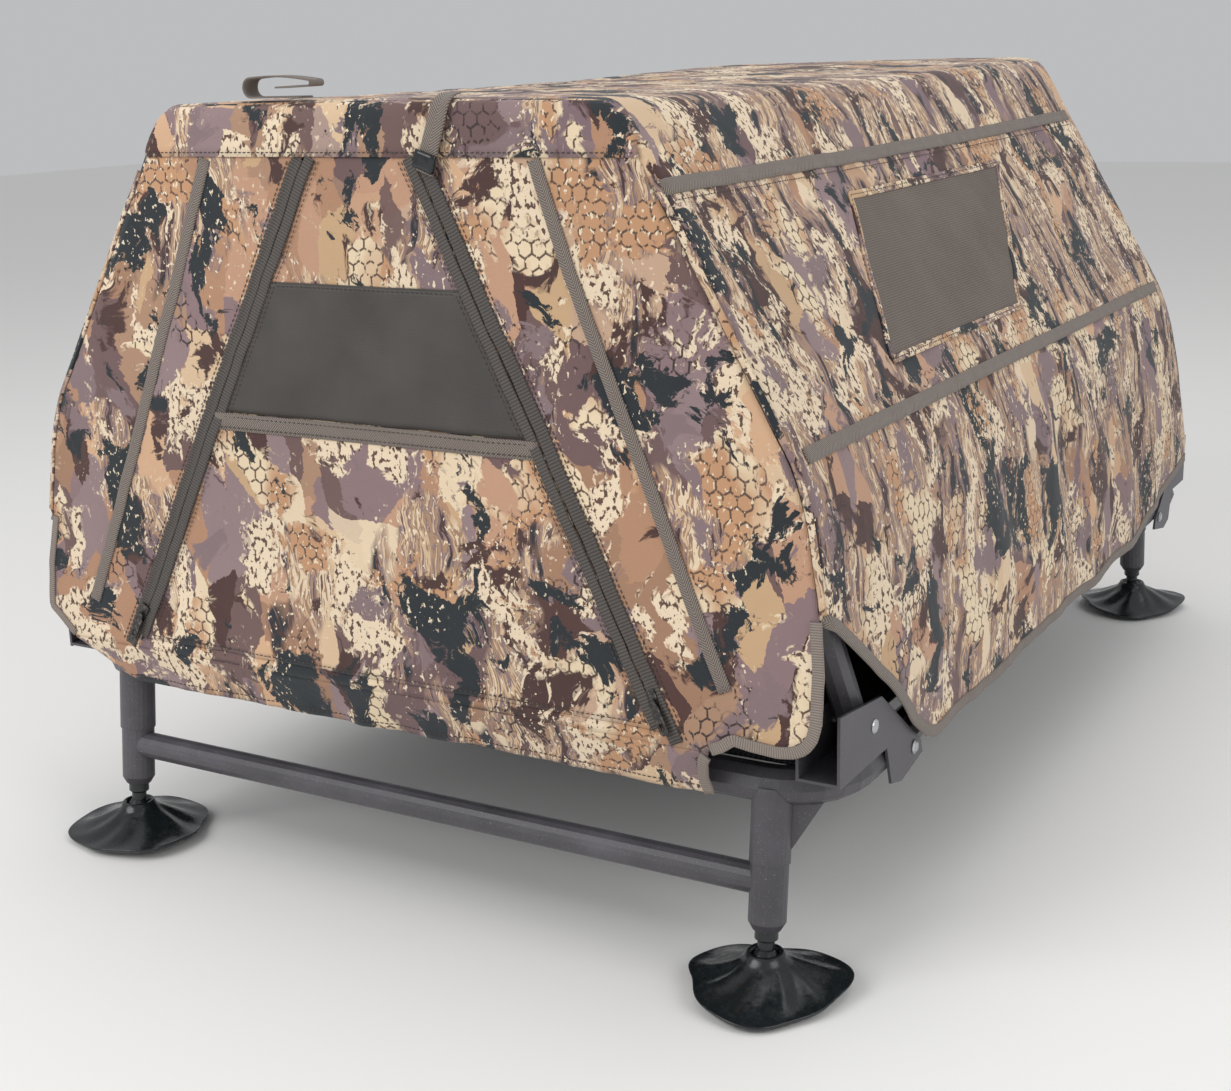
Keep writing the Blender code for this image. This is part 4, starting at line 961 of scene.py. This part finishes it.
front_outline = skin_edge("front", 0.283)
edge_left = [p for p in front_outline if p[0] < 0 and p[1] < 0.582] + [(-0.2125, 0.582)]
edge_right = [(-x, z) for x, z in edge_left]
left_edge = [(-0.331, 0.1825), (-0.3370, 0.1870), (-0.3595, 0.2060), (-0.3565, 0.2440)] + edge_left
right_edge = [(0.3465, 0.2000), (0.3515, 0.2150), (0.3515, 0.2500)] + edge_right
left_panel = panel(
    "front_panel_left",
    print_cloth,
    (
        [left_edge[0], (zip_x(0.1825, -1, 0.001), 0.1825)],
        [left_edge[-1], (zip_x(0.582, -1, 0.001), 0.582)],
        left_edge,
        [(zip_x(0.1825, -1, 0.001), 0.1825), (zip_x(0.582, -1, 0.001), 0.582)],
    ),
    0.006,
    front_lay,
    shift=(16.0, 3.0),
)
flap_foot = [
    (zip_x(0.1825, 1, 0.001), 0.1825),
    (0.268, 0.1825),
    (0.277, 0.1855),
    (0.285, 0.1925),
    (0.300, 0.1900),
    (0.320, 0.1890),
    (0.333, 0.1910),
    (0.341, 0.1950),
    (0.3465, 0.2000),
]
right_panel = panel(
    "front_panel_right",
    print_cloth,
    (
        flap_foot,
        [(zip_x(0.582, 1, 0.001), 0.582), right_edge[-1]],
        [(zip_x(0.1825, 1, 0.001), 0.1825), (zip_x(0.582, 1, 0.001), 0.582)],
        right_edge,
    ),
    0.006,
    front_lay,
    shift=(16.0, 3.0),
)
strip = panel(
    "front_strip",
    print_cloth,
    (
        [(zip_x(0.1825, -1, 0.001), 0.1825), (zip_x(0.1825, 1, 0.001), 0.1825)],
        [(zip_x(0.1915, -1, 0.001), 0.1915), (zip_x(0.1915, 1, 0.001), 0.1915)],
        [(zip_x(0.1825, -1, 0.001), 0.1825), (zip_x(0.1915, -1, 0.001), 0.1915)],
        [(zip_x(0.1825, 1, 0.001), 0.1825), (zip_x(0.1915, 1, 0.001), 0.1915)],
    ),
    0.006,
    front_lay,
    shift=(16.0, 3.0),
)
for piece in (left_panel, right_panel, strip):
    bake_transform(piece)
    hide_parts("front_wall")
    cloth([])

# The band over the door is the front wall's head, a doubled strip of the cover cloth topstitched along its
# foot and turned back over the roof's front edge.
band_foot, band_round = 0.5785, 0.0094


def roof_height(x):
    """The roof's height over its front edge at that distance from the middle."""
    for (x0, z0), (x1, z1) in zip(half_section, half_section[1:]):
        if abs(x) <= x1:
            return z0 + (z1 - z0) * (abs(x) - x0) / (x1 - x0)


def band_lay(x, climb):
    """The band's place and outward direction. climb is how far up from its foot."""
    bend = roof_height(x) + 0.0014 - band_round - band_foot
    ripple = 0.0010 * noise.noise(Vector((x * 55, 2.0, climb * 20)))
    (_, y, _), _ = front_lay(x, band_foot + min(climb, bend), 0.0015 + ripple)
    if climb <= bend:
        return (x, y, band_foot + climb), (0, -1, 0)
    angle = min(pi / 2 + 0.2, (climb - bend) / band_round)
    z = band_foot + bend + band_round * sin(angle)
    return (x, y + band_round * (1 - cos(angle)), z), (0, -cos(angle), sin(angle))


band_reach = [-0.2150 + 0.43 * i / 60 for i in range(61)]
band_head = [(x * 0.985, roof_height(x * 0.985) + 0.0068 - band_foot) for x in band_reach]
band = panel(
    "front_band",
    print_cloth,
    (
        [(-0.2150, 0.0), (0.2150, 0.0)],
        band_head,
        [(-0.2150, 0.0), band_head[0]],
        [(0.2150, 0.0), band_head[-1]],
    ),
    0.005,
    band_lay,
    thickness=0.0016,
    shift=(19.0, 6.0),
)
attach(band, "front_hoop_body")
cloth([])


# Skirts: short strips below the end walls' hem seams that hang over the end rails, with a turned and
# stitched hem.
def skirt_lay(end):
    line = {
        "front": [(0.1453, -0.5105), (0.1640, -0.5175), (0.1825, -0.5254)],
        "rear": [(0.1453, 0.5095), (0.1650, 0.5080), (0.1825, 0.4925)],
    }[end]
    sign = -1 if end == "front" else 1

    def lay(x, z):
        for (z0, y0), (z1, y1) in zip(line, line[1:]):
            if z <= z1 or z1 == line[-1][0]:
                y = y0 + (y1 - y0) * (z - z0) / (z1 - z0)
                break
        puff = 0.0025 * noise.noise(
            Vector((x * 24, 7.0, z * 10))
        ) + 0.0010 * noise.noise(Vector((x * 60, 2.0, z * 40)))
        return (x, y + sign * (0.0012 + puff * (0.1825 - z) / 0.02), z), (0, sign, 0)

    return lay


front_skirt = panel(
    "front_skirt_strip",
    print_cloth,
    (
        [(-0.278, 0.1462), (0.2640, 0.1462)],
        [(-0.331, 0.1822), (0.2680, 0.1822)],
        [(-0.278, 0.1462), (-0.289, 0.1530), (-0.331, 0.1822)],
        [(0.2640, 0.1462), (0.2620, 0.1600), (0.2645, 0.1740), (0.2680, 0.1822)],
    ),
    0.006,
    skirt_lay("front"),
    shift=(16.0, 3.0),
)
rear_skirt = panel(
    "rear_skirt_strip",
    print_cloth,
    (
        [(-0.266, 0.1462), (0.266, 0.1462)],
        [(-0.266, 0.1822), (0.266, 0.1822)],
        [(-0.266, 0.1462), (-0.266, 0.1822)],
        [(0.266, 0.1462), (0.266, 0.1822)],
    ),
    0.006,
    skirt_lay("rear"),
    shift=(12.0, 3.0),
)
for piece, node, rail in (
    (front_skirt, "front_skirt", "rail_frame"), (rear_skirt, "rear_skirt", "rail_frame")
):
    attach(piece, "stand")
    cloth([node])


# Webbing, seam binding and straps: flat woven nylon tape, grey-brown and dull, with a raised herringbone
# rib and firm rounded edges. They are sewn down over the seams and round the cut edges.
webbing, tree, shader = finish_of("woven_nylon_webbing", "#7c7169", 0.78)
shader.inputs["Sheen Weight"].default_value = 0.15
place = add(tree, "TexCoord").outputs["UV"]
# Ribs are 1 mm apart in real tape, and are drawn 2.2 mm apart.
fold = add(tree, "SeparateXYZ", None, {0: place})
mirrored = add(tree, "Math", {"operation": "ABSOLUTE"}, {0: fold.outputs["X"]})
chevron = add(tree, "Math", {"operation": "ADD"}, {0: mirrored.outputs[0], 1: fold.outputs["Y"]})
ribs = add(tree, "CombineXYZ", None, {"X": chevron.outputs[0]})
herringbone = add(tree, "TexWave", {"bands_direction": "X"}, {"Vector": ribs.outputs[0], "Scale": 143.0})
fuzz = add(tree, "TexNoise", None, {"Vector": place, "Scale": 500.0, "Detail": 3.0})
tone = add(
    tree,
    "ValToRGB",
    {"stops": [(0.1, "#615852"), (0.6, "#877b72"), (0.95, "#a09388")]},
    {"Fac": herringbone.outputs["Fac"]},
)
mottle = add(
    tree,
    "Mix",
    {"data_type": "RGBA", "blend_type": "MULTIPLY"},
    {0: 0.35, 6: tone.outputs["Color"], 7: fuzz.outputs["Color"]},
)
tree.links.new(mottle.outputs[2], shader.inputs["Base Color"])
relief = add(tree, "Bump", None, {"Height": herringbone.outputs["Fac"], "Strength": 0.6, "Distance": 0.0005})
tree.links.new(relief.outputs["Normal"], shader.inputs["Normal"])

tape_section = [
    (-0.5, 0.0), (-0.5, 0.55), (-0.44, 1.0), (-0.2, 0.86), (0.2, 0.86), (0.44, 1.0), (0.5, 0.55), (0.5, 0.0)
]


def ribbon(name, finish, line, width, thickness, section=tape_section):
    """A tape swept along a line of places and outward directions, with its own width and thickness."""
    points, uvs, faces = [], [], []
    total, size = len(line), len(section)
    travelled = 0.0
    for i, (where, out) in enumerate(line):
        ahead = Vector(line[min(i + 1, total - 1)][0]) - Vector(line[max(i - 1, 0)][0])
        side = ahead.cross(Vector(out)).normalized()
        lift = side.cross(ahead).normalized()
        if i:
            travelled += (Vector(where) - Vector(line[i - 1][0])).length
        for a, h in section:
            points.append(Vector(where) + side * (a * width) + lift * (h * thickness))
            uvs.append((a * width, travelled))
    for i in range(total - 1):
        for k in range(size):
            n = (k + 1) % size
            faces.append((i * size + k, i * size + n, (i + 1) * size + n, (i + 1) * size + k))
    faces.append(tuple(reversed(range(size))))
    faces.append(tuple((total - 1) * size + k for k in range(size)))
    return place_mesh(name, points, faces, finish, uvs)


def traced(lay, drawn, spacing=0.006, proud=0.0):
    """A line of places and outward directions over the cloth along a drawn line."""
    length = sum(hypot(b[0] - a[0], b[1] - a[1]) for a, b in zip(drawn, drawn[1:]))
    count = max(2, ceil(length / spacing))
    made = []
    for i in range(count + 1):
        where, out = lay(*along(drawn, i / count))
        made.append((Vector(where) + Vector(out) * proud, Vector(out)))
    return made


for side, sign in (("left", -1), ("right", 1)):
    seam = sign * run_at(0.5595)
    drawn = [(end_run(seam, "front"), seam), (0.395, seam)]
    roof_webbing = ribbon("roof_webbing_" + side, webbing, traced(skin, drawn, 0.006, 0.0002), 0.0115, 0.0013)
    drawn = [(-0.505, sign * shoulder), (0.415, sign * shoulder)]
    seam_webbing = ribbon(
        "shoulder_webbing_" + side, webbing, traced(skin, drawn, 0.006, 0.0002), 0.0115, 0.0013
    )
    hem = [(y, sign * (run_at(z) - 0.004)) for y, z in side_hem]
    hem_binding = ribbon(
        "side_hem_binding_" + side, webbing, traced(skin, hem, 0.006, -0.0004), 0.0095, 0.0016
    )
    for trim, part in ((roof_webbing, "upper"), (seam_webbing, "lower"), (hem_binding, "lower")):
        folds(trim, part)


# Side windows: mesh screens set into the side walls, a dull grey-brown cloth with a close weave, held by a
# turned border of the cover cloth stitched all round.
screen, tree, shader = finish_of("window_screen_mesh", "#776d65", 0.75)
place = add(tree, "TexCoord").outputs["UV"]
# The mesh is 1 mm from hole to hole in the real screen, and is drawn at 2 mm.
warp = add(tree, "TexWave", {"bands_direction": "X"}, {"Vector": place, "Scale": 157.0})
weft = add(tree, "TexWave", {"bands_direction": "Y"}, {"Vector": place, "Scale": 157.0})
mesh_holes = add(tree, "Math", {"operation": "MINIMUM"}, {0: warp.outputs["Fac"], 1: weft.outputs["Fac"]})
cloud = add(tree, "TexNoise", None, {"Vector": place, "Scale": 12.0, "Detail": 4.0})
tone = add(
    tree,
    "ValToRGB",
    {"stops": [(0.0, "#5f5751"), (0.5, "#766c63"), (1.0, "#857a70")]},
    {"Fac": mesh_holes.outputs[0]},
)
tint = add(
    tree,
    "MapRange",
    None,
    {"Value": cloud.outputs["Fac"], "From Min": 0.3, "From Max": 0.7, "To Min": 0.86, "To Max": 1.1},
)
tone = add(tree, "HueSaturation", None, {"Value": tint.outputs["Result"], "Color": tone.outputs["Color"]})
tree.links.new(tone.outputs["Color"], shader.inputs["Base Color"])
relief = add(tree, "Bump", None, {"Height": mesh_holes.outputs[0], "Strength": 0.4, "Distance": 0.0004})
tree.links.new(relief.outputs["Normal"], shader.inputs["Normal"])

window_cut = [(-0.308, 0.420), (-0.002, 0.420), (0.117, 0.532), (-0.239, 0.532)]
for side, sign in (("left", -1), ("right", 1)):
    corners = [(y, sign * run_at(z)) for y, z in window_cut]

    def window_lay(y, run):
        where, out = skin(y, run)
        return where + out * 0.0007, out

    window = panel(
        "window_screen_" + side,
        screen,
        (
            [corners[0], corners[1]],
            [corners[3], corners[2]],
            [corners[0], corners[3]],
            [corners[1], corners[2]],
        ),
        0.007,
        window_lay,
        thickness=0.0006,
    )
    ring = corners + corners[:1]
    border = ribbon(
        "window_border_" + side,
        print_cloth,
        traced(skin, ring, 0.005, 0.0004),
        0.0065,
        0.0013,
    )
    folds(window, "upper")
    folds(border, "upper")
    cloth(["side_window_" + side])


# Front wall trim: two stubble straps of webbing sewn down at intervals to hold grass, and binding round the
# free flap, the slanted corner and the skirt's ends.
binding, tree, shader = finish_of("seam_binding_tape", "#8a7f78", 0.8)
place = add(tree, "TexCoord").outputs["UV"]
# Binding is a plain ribbed tape with ribs 0.6 mm apart, drawn at 1.8 mm.
ribs = add(tree, "TexWave", {"bands_direction": "Y"}, {"Vector": place, "Scale": 175.0})
tone = add(tree, "ValToRGB", {"stops": [(0.0, "#6f655f"), (0.7, "#93887f")]}, {"Fac": ribs.outputs["Fac"]})
tree.links.new(tone.outputs["Color"], shader.inputs["Base Color"])
relief = add(tree, "Bump", None, {"Height": ribs.outputs["Fac"], "Strength": 0.5, "Distance": 0.0004})
tree.links.new(relief.outputs["Normal"], shader.inputs["Normal"])

straps = {
    "left": [(-0.156, 0.577), (-0.229, 0.400), (-0.305, 0.218)],
    "right": [(0.135, 0.577), (0.163, 0.500), (0.196, 0.420), (0.238, 0.325), (0.281, 0.228)],
}
for side, drawn in straps.items():
    strap = ribbon(
        "stubble_webbing_" + side, webbing, traced(front_lay, drawn, 0.006, 0.0003), 0.0105, 0.0013
    )
    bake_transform(strap)
    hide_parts("stubble_strap_" + side)

flap_edge = [
    (0.270, 0.1850),
    (0.278, 0.1885),
    (0.286, 0.1945),
    (0.300, 0.1925),
    (0.320, 0.1915),
    (0.3315, 0.1935),
    (0.3395, 0.1975),
    (0.3450, 0.2050),
    (0.3478, 0.2150),
    (0.3478, 0.2500),
    (0.3455, 0.2850),
]
flap_binding = ribbon("flap_binding", binding, traced(front_lay, flap_edge, 0.004, 0.0004), 0.0085, 0.0018)
slant_edge = [(-0.3440, 0.285), (-0.3530, 0.244), (-0.3560, 0.2065), (-0.3345, 0.1885), (-0.331, 0.1855)]
slant_binding = ribbon("slant_binding", binding, traced(front_lay, slant_edge, 0.004, 0.0002), 0.006, 0.0014)
for piece in (flap_binding, slant_binding):
    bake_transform(piece)
skirt_edge = [(0.2660, 0.1800), (0.2625, 0.1740), (0.2600, 0.1600), (0.2620, 0.1465)]
skirt_binding = ribbon(
    "skirt_binding", binding, traced(skirt_lay("front"), skirt_edge, 0.003, 0.0005), 0.0085, 0.0018
)
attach(skirt_binding, "stand")


# Front door: a tapering flap of the cover cloth between the two zips, hinged along its head seam, with a
# coated cloth patch sewn across it and a band of webbing under the patch.
door = panel(
    "door_flap",
    print_cloth,
    (
        [(zip_x(0.192, -1, -0.003), 0.192), (zip_x(0.192, 1, -0.003), 0.192)],
        [(zip_x(0.5795, -1, -0.003), 0.5795), (zip_x(0.5795, 1, -0.003), 0.5795)],
        [(zip_x(0.192, -1, -0.003), 0.192), (zip_x(0.5795, -1, -0.003), 0.5795)],
        [(zip_x(0.192, 1, -0.003), 0.192), (zip_x(0.5795, 1, -0.003), 0.5795)],
    ),
    0.006,
    lambda x, z: front_lay(x, z, 0.0002),
    shift=(16.0, 3.0),
)
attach(door, "front_door_body")

coated, tree, shader = finish_of("coated_patch_cloth", "#4a4743", 0.55)
place = add(tree, "TexCoord").outputs["UV"]
# Coated cloth keeps a faint plain weave, 0.7 mm in the real one and drawn at 1.6 mm, and slight cloudy wear.
warp = add(tree, "TexWave", {"bands_direction": "X"}, {"Vector": place, "Scale": 196.0})
weft = add(tree, "TexWave", {"bands_direction": "Y"}, {"Vector": place, "Scale": 196.0})
weave = add(tree, "Math", {"operation": "ADD"}, {0: warp.outputs["Fac"], 1: weft.outputs["Fac"]})
cloud = add(tree, "TexNoise", None, {"Vector": place, "Scale": 18.0, "Detail": 5.0})
tone = add(tree, "ValToRGB", {"stops": [(0.3, "#3c3835"), (0.7, "#48443f")]}, {"Fac": cloud.outputs["Fac"]})
tree.links.new(tone.outputs["Color"], shader.inputs["Base Color"])
soft = add(tree, "Bump", None, {"Height": cloud.outputs["Fac"], "Strength": 0.3, "Distance": 0.004})
relief = add(
    tree, "Bump", None, {
        "Height": weave.outputs[0], "Strength": 0.15, "Distance": 0.0003, "Normal": soft.outputs["Normal"]
    }
)
tree.links.new(relief.outputs["Normal"], shader.inputs["Normal"])

patch = panel(
    "door_patch_cloth",
    coated,
    (
        [(zip_x(0.387, -1, -0.007), 0.387), (zip_x(0.387, 1, -0.007), 0.387)],
        [(zip_x(0.488, -1, -0.007), 0.488), (zip_x(0.488, 1, -0.007), 0.488)],
        [(zip_x(0.387, -1, -0.007), 0.387), (zip_x(0.488, -1, -0.007), 0.488)],
        [(zip_x(0.387, 1, -0.007), 0.387), (zip_x(0.488, 1, -0.007), 0.488)],
    ),
    0.006,
    lambda x, z: front_lay(x, z, 0.0011),
    thickness=0.0008,
)
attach(patch, "front_door_body")
patch_webbing = ribbon(
    "door_patch_webbing",
    webbing,
    traced(front_lay, [(zip_x(0.379, -1, -0.006), 0.3795), (zip_x(0.379, 1, -0.006), 0.3795)], 0.006, 0.0006),
    0.0135,
    0.0014,
)
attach(patch_webbing, "front_door_body")
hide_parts("door_webbing")
cloth(["front_door"])
cloth(["door_patch"])


# Zips: a dark tape each side of a moulded nylon coil, topstitched to the wall and to the door. The slider
# is die cast zinc, blackened, with a flat pull.
tape, tree, shader = finish_of("zip_tape_and_coil", "#4c4744", 0.7)
place = add(tree, "TexCoord").outputs["UV"]
# Coil teeth are 1.5 mm apart and are drawn at 2.4 mm.
teeth = add(tree, "TexWave", {"bands_direction": "Y"}, {"Vector": place, "Scale": 131.0})
tone = add(tree, "ValToRGB", {"stops": [(0.0, "#3b3734"), (0.8, "#5a544f")]}, {"Fac": teeth.outputs["Fac"]})
tree.links.new(tone.outputs["Color"], shader.inputs["Base Color"])
relief = add(tree, "Bump", None, {"Height": teeth.outputs["Fac"], "Strength": 0.6, "Distance": 0.0005})
tree.links.new(relief.outputs["Normal"], shader.inputs["Normal"])

coil_section = [
    (-0.5, 0.0),
    (-0.5, 0.3),
    (-0.36, 1.0),
    (-0.2, 0.3),
    (0.1, 0.25),
    (0.28, 0.9),
    (0.38, 1.0),
    (0.46, 0.6),
    (0.5, 0.0),
]
for side, sign in (("left", -1), ("right", 1)):
    drawn = [(zip_x(0.1850, sign, 0.0035), 0.1850), (zip_x(0.578, sign, 0.0035), 0.578)]
    outer = ribbon(
        "zip_wall_tape_" + side,
        tape,
        traced(front_lay, drawn, 0.005, 0.0002),
        0.0105,
        0.0016,
        [(a * -sign, h) for a, h in coil_section][:: -sign],
    )
    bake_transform(outer)
    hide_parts("zip_tape_" + side)
    drawn = [(zip_x(0.1935, sign, -0.0075), 0.1935), (zip_x(0.578, sign, -0.0075), 0.578)]
    inner = ribbon("zip_door_tape_" + side, tape, traced(front_lay, drawn, 0.005, 0.0010), 0.0085, 0.0012)
    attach(inner, "front_door_body")

slider_metal, tree, shader = finish_of("blackened_zinc_casting", "#4c4a49", 0.42, metallic=0.85)
grain = add(tree, "TexCoord").outputs["Object"]
wear = add(tree, "TexNoise", None, {"Vector": grain, "Scale": 380.0, "Detail": 4.0})
tone = add(
    tree,
    "ValToRGB",
    {"stops": [(0.4, "#3f3d3d"), (0.62, "#595654"), (0.75, "#8d8985")]},
    {"Fac": wear.outputs["Fac"]},
)
tree.links.new(tone.outputs["Color"], shader.inputs["Base Color"])
relief = add(tree, "Bump", None, {"Height": wear.outputs["Fac"], "Strength": 0.2, "Distance": 0.0003})
tree.links.new(relief.outputs["Normal"], shader.inputs["Normal"])
for name in ("zip_slider_left", "zip_slider_right", "zip_pull_left", "zip_pull_right"):
    nodes[name].data.materials.clear()
    nodes[name].data.materials.append(slider_metal)


# Door ties: two lengths of webbing sewn into the roof's front edge, which hold the rolled door. One is
# rolled and tucked on the roof, and the other hangs to the band's foot.
low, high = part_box("door_tie_left")
fold_reach, fold_round = (high.x - low.x) / 2 - 0.0080, 0.0076
middle = ((low.x + high.x) / 2, low.y + 0.0085, low.z + 0.0092)
loop = [
    (middle[0] + fold_reach * 0.9 - 2 * fold_reach * 0.95 * i / 10, middle[1], middle[2] - fold_round)
    for i in range(11)
]
for i in range(1, 12):
    angle = pi * i / 12
    loop.append(
        (middle[0] - fold_reach - fold_round * sin(angle), middle[1], middle[2] - fold_round * cos(angle))
    )
for i in range(12):
    share = i / 11
    rise = fold_round + 0.0012 * sin(pi * share) - 0.0022 * share**2
    loop.append((middle[0] - fold_reach + (2 * fold_reach + 0.006) * share, middle[1], middle[2] + rise))
for i in range(1, 9):
    angle = pi * i / 8
    tip = 0.0026
    loop.append((loop[33][0] + tip * sin(angle), middle[1], loop[33][2] - tip + tip * cos(angle)))
for i in range(1, 8):
    loop.append((loop[41][0] - 0.030 * i / 7, middle[1], loop[41][2] - 0.0010 * i / 7))


def tie_line(points, across):
    """A line of places, with outward directions square to it and to the tie's width."""
    made = []
    for i, point in enumerate(points):
        ahead = Vector(points[min(i + 1, len(points) - 1)]) - Vector(points[max(i - 1, 0)])
        made.append((Vector(point), ahead.cross(Vector(across)).normalized()))
    return made


tie_left = ribbon("door_tie_folded", webbing, tie_line(loop, (0, -1, 0)), 0.0165, 0.0013)
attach(tie_left, "front_hoop_body")
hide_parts("door_tie_left")

hang = []
for i in range(25):
    share = i / 24
    if share < 0.25:
        angle = pi / 2 * share / 0.25
        y, z = -0.4975 - 0.0145 * sin(angle), 0.6205 - 0.0105 * (1 - cos(angle))
    else:
        z = 0.6100 - 0.0420 * (share - 0.25) / 0.75
        y = front_plane(z) - 0.0045 - 0.0022 * sin(pi * (share - 0.25) / 0.75)
    hang.append((0.0630 - 0.0150 * share**1.5, y, z))
tie_right = ribbon("door_tie_hanging", webbing, tie_line(hang, (1, 0, 0)), 0.0145, 0.0014)
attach(tie_right, "front_hoop_body")
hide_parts("door_tie_right")
toggle_line = [((x - 0.001, y - 0.0012, z), out) for (x, y, z), out in tie_line(hang, (1, 0, 0))[18:24]]
toggle = ribbon("door_tie_toggle", black, toggle_line, 0.0175, 0.0030)
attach(toggle, "front_hoop_body")


# Sewing: rows of bonded polyester thread, dark brown, locked every 4 mm. Each stitch is a short rounded
# bead that sinks into the cloth at its ends. They run along the band's foot, the door, the patch, the
# windows and the hems.
thread, tree, shader = finish_of("bonded_polyester_thread", "#3a2f2a", 0.6)
place = add(tree, "TexCoord").outputs["Object"]
twist = add(tree, "TexWave", {"bands_direction": "DIAGONAL"}, {"Vector": place, "Scale": 260.0})
tone = add(tree, "ValToRGB", {"stops": [(0.1, "#2c2420"), (0.9, "#4d403a")]}, {"Fac": twist.outputs["Fac"]})
tree.links.new(tone.outputs["Color"], shader.inputs["Base Color"])


def sewn(name, lay, rows, proud=0.0, pitch=0.0042, bead=0.0029, half_width=0.00042):
    """Rows of stitches over the cloth along drawn lines, as one piece."""
    points, faces = [], []
    for drawn in rows:
        length = sum(hypot(b[0] - a[0], b[1] - a[1]) for a, b in zip(drawn, drawn[1:]))
        count = int(length / pitch)
        for i in range(count):
            share = (i + 0.5) / count
            where, out = lay(*along(drawn, share))
            ahead = Vector(
                lay(*along(drawn, min(1.0, share + 0.002)))[0]
            ) - Vector(lay(*along(drawn, max(0.0, share - 0.002)))[0])
            where, out, ahead = Vector(where) + Vector(out) * proud, Vector(out), ahead.normalized()
            side = ahead.cross(out).normalized()
            start = len(points)
            for reach, rise, wide in (
                (-0.5, -0.0002, 0.4), (-0.3, 0.0004, 1.0), (0.3, 0.0004, 1.0), (0.5, -0.0002, 0.4)
            ):
                spot = where + ahead * (reach * bead)
                points.append(spot + side * (half_width * wide) + out * (rise * 0.4))
                points.append(spot + out * rise)
                points.append(spot - side * (half_width * wide) + out * (rise * 0.4))
            for k in range(3):
                a = start + 3 * k
                faces.append((a, a + 3, a + 4, a + 1))
                faces.append((a + 1, a + 4, a + 5, a + 2))
    return place_mesh(name, points, faces, thread)


foot_line = [(-0.2120, band_foot + 0.0030), (0.2120, band_foot + 0.0030)]
band_sewing = sewn("band_sewing", lambda x, z: band_lay(x, z - band_foot), [foot_line], 0.0002)
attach(band_sewing, "front_hoop_body")
door_rows = []
for sign in (-1, 1):
    for beyond in (-0.0135, -0.0165):
        door_rows.append([(zip_x(0.196, sign, beyond), 0.196), (zip_x(0.576, sign, beyond), 0.576)])
door_rows.append([(zip_x(0.1955, -1, -0.018), 0.1955), (zip_x(0.1955, 1, -0.018), 0.1955)])
door_sewing = sewn("door_sewing", front_lay, door_rows, 0.0012)
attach(door_sewing, "front_door_body")
patch_rows = [[(zip_x(0.4855, -1, -0.018), 0.4855), (zip_x(0.4855, 1, -0.018), 0.4855)]]
patch_rows.append([(zip_x(0.3755, -1, -0.012), 0.3755), (zip_x(0.3755, 1, -0.012), 0.3755)])
patch_rows.append([(zip_x(0.3835, -1, -0.012), 0.3835), (zip_x(0.3835, 1, -0.012), 0.3835)])
patch_sewing = sewn("patch_sewing", front_lay, patch_rows, 0.0021)
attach(patch_sewing, "front_door_body")
wall_rows = []
for sign in (-1, 1):
    for beyond in (0.0100, 0.0130):
        wall_rows.append([(zip_x(0.188, sign, beyond), 0.188), (zip_x(0.576, sign, beyond), 0.576)])
wall_sewing = sewn("wall_sewing", front_lay, wall_rows, 0.0004)
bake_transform(wall_sewing)
skirt_sewing = sewn("skirt_sewing", skirt_lay("front"), [[(-0.284, 0.1520), (0.2560, 0.1520)]], 0.0004)
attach(skirt_sewing, "stand")
for side, sign in (("left", -1), ("right", 1)):
    corners = [(y, sign * run_at(z)) for y, z in window_cut]
    ring = corners + corners[:1]
    seam_row = sign * (roof_seam + 0.009)
    rows = [[(end_run(seam_row, "front"), seam_row), (0.39, seam_row)]]
    side_sewing = sewn("side_sewing_" + side, skin, [ring] + rows, 0.0015)
    folds(side_sewing, "upper")
    for part, foot, top in (("lower", run_at(0.290), shoulder), ("upper", shoulder, roof_seam - 0.012)):
        corner_runs = [top + (foot - top) * i / 20 for i in range(21)]
        corner_line = [(end_run(run, "front") + 0.0030, sign * run) for run in corner_runs]
        drawn = traced(skin, corner_line, 0.006, 0.0001)
        piping = ribbon("corner_piping_" + part + "_" + side, print_cloth, drawn, 0.0048, 0.0020)
        folds(piping, part)
